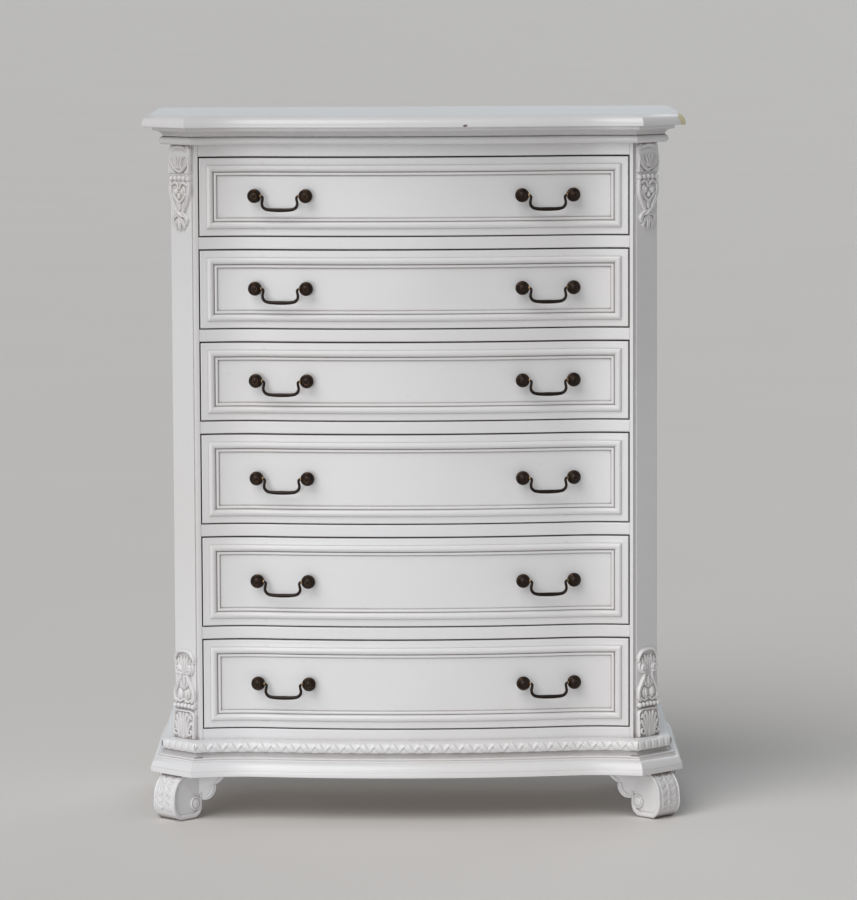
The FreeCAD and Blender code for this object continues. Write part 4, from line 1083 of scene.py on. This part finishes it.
def on_cant(bottom, side):
    """Places a blank on the cut-off corner of one side, its foot at bottom."""
    inset = (CANT + OVERHANG) / 2

    def place(u, v, h):
        x = CORNER_X + inset + SLANT * u + SLANT * h * BOLD
        y = CORNER_Y + inset + SLANT * u - SLANT * h * BOLD
        return np.stack([side * x, y, bottom + v], axis=-1)

    return place


UPPER_LEVEL = CORNICE_LEVEL - UPPER_TALL * MM
LOWER_LEVEL = BASE_TOP + RIBBON_TALL
for side_name, side in (("left", -1), ("right", 1)):
    for blank, kind, level in ((UPPER, "upper", UPPER_LEVEL), (LOWER, "lower", LOWER_LEVEL)):
        node = kind + "_carving_" + side_name
        carved = blank.make(node + "_detail", on_cant(level, side))
        fit_to_case(carved, node)
        print(carved.name, len(carved.data.vertices), "points")

# %% [markdown]
# A drawer front is one thick board. From its edge inward it has a flat
# border, a raised bead with a steep flank, a groove, a low round fillet and
# a step down to the flat sunk panel. Seen square on, only the distance to
# the nearest edge matters, which is also what makes the beads meet in
# mitres. So the front is a grid whose lines lie close together where the
# section bends, and wide apart where it is flat.

# %% Drawer fronts
PROUD, SINK = 1.5, 4.0
BORDER, BEAD_WIDTH, SLOPE = 13.0, 13.0, 7.0
EASED_EDGE = ((0.0, -1.4), (0.4, -0.6), (1.0, -0.1), (1.8, 0.0), (4.0, 0.0), (12.6, 0.0))
RAISED_BEAD = (
    (0.0, 0.1), (0.5, 1.1), (1.3, 2.2), (2.5, 3.1), (4.2, 3.7), (6.2, 4.0), (8.2, 3.8),
    (10.0, 3.2), (11.3, 2.2), (12.1, 1.0), (12.5, -0.4),
)
GROOVE = ((-0.1, -1.7), (0.4, -1.9), (0.9, -0.9))
FALL = ((5.8, -1.2), (6.1, 0.1 - SINK), (6.6, -0.3 - SINK), (SLOPE, -SINK), (SLOPE + 3.0, -SINK))


def front_section():
    """Distances from the edge and the heights there, both in millimetres."""
    fillet = []
    for turn in np.radians(np.linspace(35, 130, 5)):
        fillet.append((3.4 - 2.9 * math.cos(turn), -1.3 + 1.2 * math.sin(turn)))
    inside = GROOVE + tuple(fillet) + FALL
    rows = EASED_EDGE + tuple((BORDER + inward, up) for inward, up in RAISED_BEAD)
    return np.array(rows + tuple((BORDER + BEAD_WIDTH + inward, up) for inward, up in inside))


SECTION_AT, SECTION_UP = front_section().T * MM
GAP_BESIDE, GAP_BELOW, GAPS = 0.0021, 0.0023, 0.0050
FRONT_HALF = OPENING_HALF - GAP_BESIDE


def front_faces(rows, columns, count):
    """The grid's faces, with those on the mitres split along the mitre."""
    faces = []
    for index, (a, b, c, d) in enumerate(lattice(rows, columns)):
        row, column = divmod(index, columns - 1)
        from_side = min(column, columns - 2 - column)
        if from_side != min(row, rows - 2 - row) or from_side >= count - 1:
            faces.append([a, b, c, d])
        elif (column < count) != (row < count):
            faces += [[a, b, d], [b, c, d]]
        else:
            faces += [[a, b, c], [a, c, d]]
    return faces


def make_front(number, low, tall):
    """One drawer front with its back and edges, riding on its drawer."""
    bottom, top = low + GAP_BELOW, low + GAP_BELOW + tall - GAPS
    deep = SECTION_AT[-1]
    middle_x = front_stations(FRONT_HALF - deep - 0.004, 0.012)
    xs = np.concatenate([-FRONT_HALF + SECTION_AT, middle_x, FRONT_HALF - SECTION_AT[::-1]])
    middle_z = np.linspace(bottom + deep + 0.006, top - deep - 0.006, 4)
    zs = np.concatenate([bottom + SECTION_AT, middle_z, top - SECTION_AT[::-1]])
    gx, gz = np.meshgrid(xs, zs)
    edge = np.minimum(FRONT_HALF - np.abs(gx), np.minimum(gz - bottom, top - gz))
    gy = front_y(gx, PROUD * MM + np.interp(edge, SECTION_AT, SECTION_UP))
    points = np.stack([gx, gy, gz], axis=2).reshape(-1, 3)
    faces = front_faces(*gx.shape, len(SECTION_AT))
    grid = np.arange(len(points)).reshape(gx.shape)
    rim = np.concatenate([grid[0], grid[1:, -1], grid[-1, -2::-1], grid[-2:0:-1, 0]])
    behind = points[rim]
    behind[:, 1] = RAIL_BACK
    back = len(points) + np.arange(len(rim))
    faces += np.stack([rim, np.roll(rim, -1), np.roll(back, -1), back], axis=1).tolist()
    which = [0] * len(faces) + [1]
    faces.append(back.tolist())
    drawer = "drawer_%d" % number
    finishes = [LACQUER, FRONT_WOOD]
    points = np.vstack([points, behind])
    front = make_piece(drawer + "_face", points, faces, finishes, which, crisp=38)
    hand_over(front, drawer, drawer + "_front")


for number, (low, tall) in enumerate(OPENINGS, start=1):
    make_front(number, low, tall)
print("drawer fronts:", len(OPENINGS))

# %% [markdown]
# The feet are short scrolls set cornerwise under the cut-off corners, and
# sideways at the back. In side view a foot is one closed curve: it swells
# forward, rolls under to the floor and curls back. A carver bandsaws that
# curve, carves a leaf with a rib down the front, and sinks the two cheeks
# inside a rolled rim that thins out behind. The same curve carries the
# carved band here. Each cheek is a grid of rays from a point near the
# middle of the foot, and a turned eye is set into it.

# %% Scroll feet
FOOT_REACH = 0.062
FOOT_HALF = 0.029
FOOT_SCALE = np.array([FOOT_REACH, FOOT_TALL])
EYE = FOOT_SCALE * (0.09, 0.335)
HUB = FOOT_SCALE * (0.45, 0.46)
SCROLL = (
    ("by", 0.885, 0.80), ("to", 1.0, 0.46), ("by", 0.950, 0.17), ("to", 0.72, 0.0),
    ("to", 0.12, 0.0), ("by", -0.105, 0.12), ("to", -0.17, 0.31), ("by", -0.155, 0.42),
    ("to", -0.115, 0.53), ("to", -0.5161, 1.0),
)
EYE_PROFILE = (
    (13.2, 0), (13.2, 5.0), (12.9, 5.8), (12.2, 6.2), (11.0, 6.2), (10.3, 5.8), (9.8, 5.3),
    (9.2, 5.4), (8.6, 6.1), (7.1, 6.8), (5.0, 7.3), (2.5, 7.55), (0, 7.6),
)
EYE_SUNK = 0.0057


def traced(start, steps, scale, spacing=0.0015):
    """Points along straight lines and three-point arcs, evenly spaced."""
    here = start * scale
    points = [here]
    via = None
    for kind, a, b in steps:
        target = (a, b) * scale
        if kind == "by":
            via = target
            continue
        count = max(int(np.linalg.norm(target - here) / spacing), 1)
        if via is None:
            line = [here + (target - here) * i / count for i in range(1, count + 1)]
        else:
            line = arc_through(here, via, target, int(count * 1.2) + 2)
        points += line
        here, via = target, None
    return np.array(points)


def arc_through(first, via, last, count):
    """Points on the circle through three points, without the first."""
    a, b = via - first, last - first
    cross = a[0] * b[1] - a[1] * b[0]
    aside = b[1] * (a @ a) - a[1] * (b @ b)
    ahead = a[0] * (b @ b) - b[0] * (a @ a)
    centre = first + np.array([aside, ahead]) / (2 * cross)
    start = math.atan2(*(first - centre)[::-1])
    finish = math.atan2(*(last - centre)[::-1])
    radius = np.linalg.norm(first - centre)
    if cross > 0 and finish < start:
        finish += math.tau
    if cross < 0 and finish > start:
        finish -= math.tau
    turns = np.linspace(start, finish, count + 1)[1:]
    return [centre + radius * np.array([math.cos(t), math.sin(t)]) for t in turns]


def outward_ways(line):
    """Unit normals of a line that runs clockwise round its shape."""
    step = np.gradient(line, axis=0)
    way = np.stack([-step[:, 1], step[:, 0]], axis=1)
    return way / np.maximum(np.linalg.norm(way, axis=1, keepdims=True), 1e-9)


SCROLL_LINE = traced((0.60, 1.0), SCROLL, FOOT_SCALE)
RIM_LINE = traced((0.60, 1.0), SCROLL[:-1], FOOT_SCALE)
SCROLL_RUN = run_along(SCROLL_LINE)
SCROLL_WAY = outward_ways(SCROLL_LINE)
BAND_LENGTH = float(SCROLL_RUN[-1]) / MM


FIELD = -1.9


def carve_foot():
    """The band of a foot: v runs from the top of the front down and round."""
    blank = Blank(2 * FOOT_HALF / MM, BAND_LENGTH, 0.75, floor=FIELD)
    stroke, cut = blank.stroke, blank.cut
    stroke(-2.0, 0, (27.4, -2, 2.0, 2.0), (27.4, BAND_LENGTH + 2, 2.0, 2.0))
    stroke(FIELD, 0, (0, 3, 2.6, 1.6), (0, 40, 2.4, 1.9), (0, 86, 1.6, 1.6))
    cut((0, 5, 0.8, 0.9), (0, 84, 0.7, 0.9), mirror=False)
    for index in range(5):
        root = 17 + index * 14.5
        reach = 20.5 - index * 0.9
        stroke(FIELD, 0.35, (2.6, root - 7, 1.5, 1.2), (8.5, root - 3.5, 3.0, 1.9),
            (16.0, root - 5.5, 3.5, 1.9), (reach, root - 12.0, 2.2, 1.6))
        stroke(FIELD, 0.3, (11.0, root + 0.5, 1.8, 1.4), (17.0, root - 0.6, 2.2, 1.7),
            (reach + 0.6, root - 4.6, 1.8, 1.3))
        cut((6.5, root + 1.6, 1.1, 1.5), (7.2, root + 2.2, 1.1, 1.5))
    blank.h = np.minimum(blank.h, 0.0)
    blank.soften()
    return blank


FOOT_BAND = carve_foot()


def foot_band(u, v, h):
    """A point of the band as (out, across, up)."""
    out, up = [
        np.interp(v, SCROLL_RUN, line) + np.interp(v, SCROLL_RUN, way) * h
        for line, way in zip(SCROLL_LINE.T, SCROLL_WAY.T)
    ]
    return np.stack([out, u, np.maximum(up, 0.0)], axis=-1)


def distance_to_line(points, line):
    """Shortest distance from each point to a line of straight pieces."""
    starts, steps = line[:-1], np.diff(line, axis=0)
    offset = points[..., None, :] - starts
    share = np.clip((offset * steps).sum(-1) / (steps * steps).sum(-1), 0, 1)
    return np.linalg.norm(offset - share[..., None] * steps, axis=-1).min(-1)


def cheek():
    """One side of a foot as a grid: a rolled rim round a sunk field."""
    edge = np.vstack([SCROLL_LINE[:-1], SCROLL_LINE[:1]])
    inner, outer = np.linspace(0, 0.5, 10), np.linspace(0.5, 0.98, 54)[1:]
    shares = np.concatenate([inner, outer, [0.988, 0.995, 1.0]])
    ray = HUB + (edge - HUB)[:, None, :] * shares[None, :, None]
    to_edge = distance_to_line(ray, RIM_LINE) / MM
    low = np.clip(1 - ray[..., 1] / (0.42 * FOOT_TALL), 0, 1) ** 0.7
    behind = ray[..., 0] < HUB[0]
    taper = np.clip((0.56 - ray[..., 1] / FOOT_TALL) / 0.16, 0.25, 1)
    rim = (4.6 + 6.4 * low) * np.where(behind, taper, 1)
    inside = np.clip((to_edge - rim) / 1.2, 0, 1)
    across = np.clip(np.abs(to_edge / rim * 2 - 1), 0, 1)
    fall = 0.6 + 2.2 * low
    rolled = fall * (1 - np.sqrt(np.maximum(1 - across**2.4, 0)))
    sunk = fall + (4.2 - fall) * inside * inside * (3 - 2 * inside)
    depth = np.where(to_edge < rim, rolled, sunk)
    depth[:, -1] = fall[:, -1]
    return ray, depth * MM


def foot_points():
    """Points and faces of one foot, pointing along X with its middle at zero."""
    band_points = foot_band(FOOT_BAND.u * MM, FOOT_BAND.v * MM, FOOT_BAND.h * MM)
    parts = [(band_points.reshape(-1, 3), lattice(*FOOT_BAND.h.shape))]
    ray, depth = cheek()
    for side in (-1, 1):
        grid = np.stack([ray[..., 0], side * (FOOT_HALF - 0.0002 - depth), ray[..., 1]], axis=-1)
        parts.append((grid.reshape(-1, 3), lattice(*depth.shape)))
        eye_at = (EYE[0], side * (FOOT_HALF - EYE_SUNK), EYE[1])
        parts.append(lathe(EYE_PROFILE, eye_at, (0, side), 48))
    return joined(parts)


FOOT_POINTS, FOOT_FACES = foot_points()
print("foot:", len(FOOT_POINTS), "points, band", round(BAND_LENGTH), "mm long")

# %% [markdown]
# From each foot a shaped bracket runs along under the base. Its lower edge
# makes two lobes, and a round lip follows each of them like the rolled edge
# of a shell. A bracket is sawn from a board, so it starts as a flat outline
# with eased edges. The lips are round rods laid just inside that outline.

# %% Brackets beside the feet


def tube(line, radii, sides=12):
    """A round rod along a line in space, closed at its ends."""
    line = np.asarray(line, float)
    way = np.gradient(line, axis=0)
    way /= np.linalg.norm(way, axis=1, keepdims=True)
    across = np.cross(way[0], (0.0, 0.0, 1.0))
    if np.linalg.norm(across) < 0.2:
        across = np.cross(way[0], (0.0, 1.0, 0.0))
    rings = []
    turns = np.linspace(0, math.tau, sides, endpoint=False)
    for here, ahead, radius in zip(line, way, radii):
        across = across - ahead * (across @ ahead)
        across /= np.linalg.norm(across)
        up = np.cross(ahead, across)
        ring = np.cos(turns)[:, None] * across + np.sin(turns)[:, None] * up
        rings.append(here + radius * ring)
    return np.vstack(rings), tube_faces(len(line), sides)


WING_LONG = 0.070
WING_DROP = 0.049
WING_THICK = 0.016
WING_SET_IN = 0.009
LOWER_LOBE = (("by", 0.60, 0.075), ("to", 0.68, 0.22), ("by", 0.722, 0.41), ("to", 0.708, 0.57))
UPPER_LOBE = (("by", 0.87, 0.73), ("to", 1.0, 1.0))
WING_LINE = (("to", 0.0, 0.02), ("to", 0.47, 0.0)) + LOWER_LOBE + UPPER_LOBE + (("to", 0.0, 1.0),)
WING_SCALE = np.array([WING_LONG, WING_DROP])
WING_OUTLINE = traced((0.0, 1.0), WING_LINE, WING_SCALE, 0.003)
EASED_FACE = (
    (0.0, -WING_THICK), (0.0, -0.0024), (0.0003, -0.0012), (0.0010, -0.0004), (0.0022, 0.0),
)
LOWER_LIP, UPPER_LIP, LIP_SUNK = 0.0038, 0.0025, 0.0002


def along_face(line, forward):
    """A line of (along, up) at one distance before the bracket's face."""
    return np.stack([line[:, 0], np.full(len(line), forward), line[:, 1]], axis=1)


def lip(start, lobe, radius):
    """A round rod just inside one lobe of the lower edge."""
    line = traced(start, lobe, WING_SCALE)
    inner = line + outward_ways(line) * radius * 0.9
    thick = radius * (1 - 0.45 * np.linspace(-1, 1, len(line)) ** 4)
    return tube(along_face(inner, -LIP_SUNK), thick)


def wing_parts():
    """One bracket as points of (along, forward, up), forward zero at its face."""
    line = WING_OUTLINE[:-1]
    way = -outward_ways(WING_OUTLINE)[:-1]
    rings = [along_face(line + way * inset, forward) for inset, forward in EASED_FACE]
    board = (np.vstack(rings), tube_faces(len(rings), len(line)))
    lower = lip((0.43, 0.0), (("to", 0.47, 0.0),) + LOWER_LOBE, LOWER_LIP)
    upper = lip((0.708, 0.57), UPPER_LOBE, UPPER_LIP)
    return joined([board, lower, upper])


def moved(points, origin, first, second):
    """Takes (first, second, up) of each point to the shared frame."""
    ways = np.array([(*first, 0.0), (*second, 0.0), (0.0, 0.0, 1.0)])
    return np.asarray(points) @ ways + origin


REAR_SET_IN, REAR_FORWARD = 0.012, 0.002


def make_feet():
    """Front feet with two brackets each, and rear feet with one."""
    middle = ((CORNER_X + CASE_HALF) / 2, (CORNER_Y + SIDE_Y) / 2, 0.0)
    rear_at = (CASE_HALF - REAR_SET_IN, BACK - FOOT_HALF - REAR_FORWARD, 0.0)
    wing, wing_faces = wing_parts()
    level = FOOT_TALL - WING_DROP
    face_x, face_y = CASE_HALF - WING_SET_IN, CORNER_Y + WING_SET_IN
    front = [
        (moved(FOOT_POINTS, middle, (SLANT, -SLANT), (SLANT, SLANT)), FOOT_FACES),
        (moved(wing, (middle[0], face_y, level), (-1, 0), (0, -1)), wing_faces),
        (moved(wing, (face_x, middle[1], level), (0, 1), (1, 0)), wing_faces),
    ]
    rear = [
        (moved(FOOT_POINTS, rear_at, (1, 0), (0, 1)), FOOT_FACES),
        (moved(wing, (face_x, rear_at[1], level), (0, -1), (1, 0)), wing_faces),
    ]
    for name, parts in (("foot_front", front), ("foot_rear", rear)):
        points, faces = joined(parts)
        for side_name, sign in (("right", 1), ("left", -1)):
            node = name + "_" + side_name
            scroll = make_piece(node + "_scroll", points * (sign, 1, 1), faces, [LACQUER], crisp=50)
            fit_to_case(scroll, node)
        print(name, "right and left:", len(points), "points each")


make_feet()

# %% [markdown]
# A handle is two posts and a bail. Turned posts end in a ringed round head,
# and the bail is a cast bar that swells in the middle and swings on small
# brass pins in the heads. The posts sit on the sunk panel and face straight
# out from it, so on the bow every handle points a little aside.

# %% Handles
PULL_SHARE = 0.614
PULL_X = OPENING_HALF * PULL_SHARE
PULL_RISE = 0.002
SPACING = 0.096
PANEL_OUT = (PROUD - SINK) * MM
PIVOT_OUT = 0.019
ROSETTE = 0.009
CLEAR = 0.0003
PIN_REACHES = (0.0345, 0.0352, 0.0366, 0.0374)
PIN_RADII = (0.0026, 0.0034, 0.0034, 0.0026)
POST = (
    (0, 0), (9, 0), (9.4, 0.8), (9.2, 2), (7.5, 3), (5.2, 3.6), (4.4, 5), (4.2, 8), (4.8, 10.5),
    (7, 11.8), (10.2, 12.4), (12.6, 14), (13.1, 16.2), (12.9, 18.5), (12.0, 20.2), (11.2, 20.9),
    (10.7, 20.5), (10.0, 22.2), (8.8, 23.4), (7.9, 23.2), (7.2, 23.9), (6, 24.9), (5, 25.3),
    (4.6, 25.1), (3.8, 25.7), (2.2, 26.6), (0, 27),
)
SCREW = (
    (0, -1.0), (6.2, -1.0), (6.5, 0.2), (6.3, 0.9), (4.6, 1.0), (4.5, 2.0), (4.0, 2.9),
    (2.8, 3.5), (1.6, 3.6), (1.4, 2.4), (0, 2.3),
)
BAIL_ROUTE = (
    (41.4, 0, 2.3), (37, 0, 2.3), (33.6, -0.5, 2.3), (31.6, -3, 2.4), (32.2, -8, 2.5),
    (33.2, -13, 2.6), (32.2, -18.6, 2.8), (27.5, -23.4, 3.0), (20, -25.3, 3.2),
    (10, -25.9, 3.5), (0, -26, 3.7),
)


def on_panel(x):
    return np.array([x, float(front_y(x, PANEL_OUT))])


def pull_place(side):
    """Middle of a handle on the panel, the way along it and the way outward."""
    feet = [on_panel(side * PULL_X + s * SPACING / 2) for s in (-1, 1)]
    along = (feet[1] - feet[0]) / np.linalg.norm(feet[1] - feet[0])
    out = np.array([along[1], -along[0]])
    under = [on_panel(foot[0] + s * ROSETTE * along[0]) for foot in feet for s in (-1, 0, 1)]
    lift = max(float(place @ out) for place in under) - float(feet[0] @ out) + CLEAR
    return (feet[0] + feet[1]) / 2 + out * lift, along, out


def smooth_profile(profile):
    line = smooth_line([(radius, distance, 0, 0) for radius, distance in profile], 0.9)
    return [(max(radius, 0.0), distance) for radius, distance in line[:, :2]]


HEAD = smooth_profile(POST)


def bail_line():
    """The bail's middle line as (along, down, radius) in metres, end to end."""
    right = smooth_line([(a, b, r, 0) for a, b, r in BAIL_ROUTE], 1.3)[:, :3] * MM
    left = right[::-1][1:] * (-1, 1, 1)
    return np.vstack([right, left])


def bail_parts(pivot, along, level):
    """The cast bar of one bail and its two pins."""
    line = bail_line()
    path = np.column_stack([pivot + along * line[:, :1], level + line[:, 1]])
    parts = [tube(path, line[:, 2], 14)]
    for end in (-1, 1):
        pin = [(*(pivot + along * end * reach), level) for reach in PIN_REACHES]
        parts.append(tube(pin, PIN_RADII, 14))
    return parts


def make_handles(number, level):
    """The posts, bails and screws of both handles on one drawer."""
    drawer = "drawer_%d" % number
    posts, screws = [], []
    for side, side_name in ((-1, "left"), (1, "right")):
        centre, along, out = pull_place(side)
        for end in (-1, 1):
            foot = centre + along * end * SPACING / 2
            posts.append(lathe(HEAD, (*foot, level), out))
            behind = foot + out * (RAIL_BACK - foot[1]) / out[1]
            screws.append(lathe(SCREW, (behind[0], RAIL_BACK, level), (0.0, 1.0), 20))
        parts = bail_parts(centre + out * PIVOT_OUT, along, level)
        which = [0] * len(parts[0][1]) + [1] * (len(parts[1][1]) + len(parts[2][1]))
        finishes = [BRONZE, PIVOT_BRASS]
        bail = make_piece(drawer + "_bar_" + side_name, *joined(parts), finishes, which, crisp=45)
        body = "bail_%d_%s" % (number, side_name)
        hand_over(bail, body, drawer + "_bail_" + side_name)
    heads = make_piece(drawer + "_posts", *joined(posts), [BRONZE], crisp=45)
    hand_over(heads, drawer, drawer + "_pull_posts")
    hand_over(make_piece(drawer + "_screws", *joined(screws), [STEEL]), drawer)


for number, (low, tall) in enumerate(OPENINGS, start=1):
    make_handles(number, low + tall / 2 + PULL_RISE)
print("handles:", 2 * len(OPENINGS))

# %% [markdown]
# The picture is taken from a little above the chest, from far away with a
# long lens, so that upright lines stay nearly upright. The floor is a plain
# pale plane. A wide and soft sun stands high in front on the left. A large
# box of light, low in front on the left, brightens the mouldings from below,
# and a weak sun behind keeps the back of the chest readable.

# %% Camera, floor and light
LENS = 195.24
CAMERA_AT = (0.0313, -9.198, 1.642)
AIM = ((0.04, "Z"), (90 - 6.01, "X"), (-0.27, "Z"))
FLOOR = [(-200, -60, -0.0004), (200, -60, -0.0004), (200, 900, -0.0004), (-200, 900, -0.0004)]
SKIES = (((0.93, 0.97, 1.0, 1.0), 0.17), ((0.60, 0.64, 0.67, 1.0), 1.0))


def make_camera():
    """A camera aimed by three turns about its own axes."""
    camera = bpy.data.objects.new("camera", bpy.data.cameras.new("camera"))
    bpy.context.scene.collection.objects.link(camera)
    camera.data.lens = LENS
    camera.data.sensor_width = 36.0
    camera.data.clip_end = 1000.0
    camera.location = CAMERA_AT
    turn = Matrix.Identity(4)
    for angle, axis in AIM:
        turn = turn @ Matrix.Rotation(math.radians(angle), 4, axis)
    camera.rotation_euler = turn.to_euler()
    bpy.context.scene.camera = camera


def make_floor():
    floor = Finish("studio_floor", Specular_IOR_Level=0.3)
    drift = floor.cloud(0.8, 3.0)
    tint = floor.blend(drift, (0.78, 0.755, 0.735), (0.76, 0.735, 0.715))
    finish = floor.use(Base_Color=tint, Roughness=0.55 + (drift - 0.5) * 0.1)
    mesh = bpy.data.meshes.new("studio_floor")
    mesh.from_pydata(FLOOR, [], [(0, 1, 2, 3)])
    mesh.materials.append(finish)
    plane = bpy.data.objects.new("studio_floor", mesh)
    bpy.context.scene.collection.objects.link(plane)


def make_world():
    """Soft light from all round; the camera and mirrors see a pale backdrop."""
    world = bpy.data.worlds.new("studio")
    bpy.context.scene.world = world
    world.use_nodes = True
    tree = world.node_tree
    tree.nodes.clear()

    def add(kind, *wires):
        """A node whose first sockets are fed by the given outputs."""
        made = tree.nodes.new(kind)
        for socket, wire in zip(made.inputs, wires):
            tree.links.new(wire, socket)
        return made

    path = add("ShaderNodeLightPath").outputs
    seen = path["Is Camera Ray"]
    for ray in ("Is Glossy Ray", "Is Transmission Ray"):
        either = add("ShaderNodeMath", seen, path[ray])
        either.operation = "MAXIMUM"
        seen = either.outputs[0]
    skies = []
    for colour, strength in SKIES:
        sky = add("ShaderNodeBackground")
        sky.inputs["Color"].default_value = colour
        sky.inputs["Strength"].default_value = strength
        skies.append(sky.outputs[0])
    mix = add("ShaderNodeMixShader", seen, *skies)
    add("ShaderNodeOutputWorld", mix.outputs[0])


def lamp(name, kind, place, target, power, colour, **settings):
    """A lamp at a place that shines towards a target."""
    data = bpy.data.lights.new(name, kind)
    data.energy = power
    data.color = colour
    for key, value in settings.items():
        setattr(data, key, value)
    holder = bpy.data.objects.new(name, data)
    holder.location = place
    way = Vector(target) - Vector(place)
    holder.rotation_euler = way.to_track_quat("-Z", "Y").to_euler()
    bpy.context.scene.collection.objects.link(holder)


make_camera()
make_floor()
make_world()
MIDDLE, BELOW = (0, 0, 0.5), (-0.1, 0, -0.05)
WARM, COOL, COOLER = (1.0, 0.985, 0.965), (0.97, 0.98, 1.0), (0.95, 0.98, 1.0)
box = {"shape": "RECTANGLE", "size": 3.8, "size_y": 1.5, "spread": math.radians(62)}
lamp("key", "SUN", (-2.4, -3.5, 5.0), MIDDLE, 1.62, WARM, angle=math.radians(48))
lamp("low_box", "AREA", (-1.5, -4.2, 0.85), BELOW, 8.2, COOL, **box)
lamp("back", "SUN", (2.4, 4.4, 3.6), MIDDLE, 0.25, COOLER, angle=math.radians(30))
bpy.context.scene.view_settings.view_transform = "Standard"
print("camera, floor, world and three lamps")
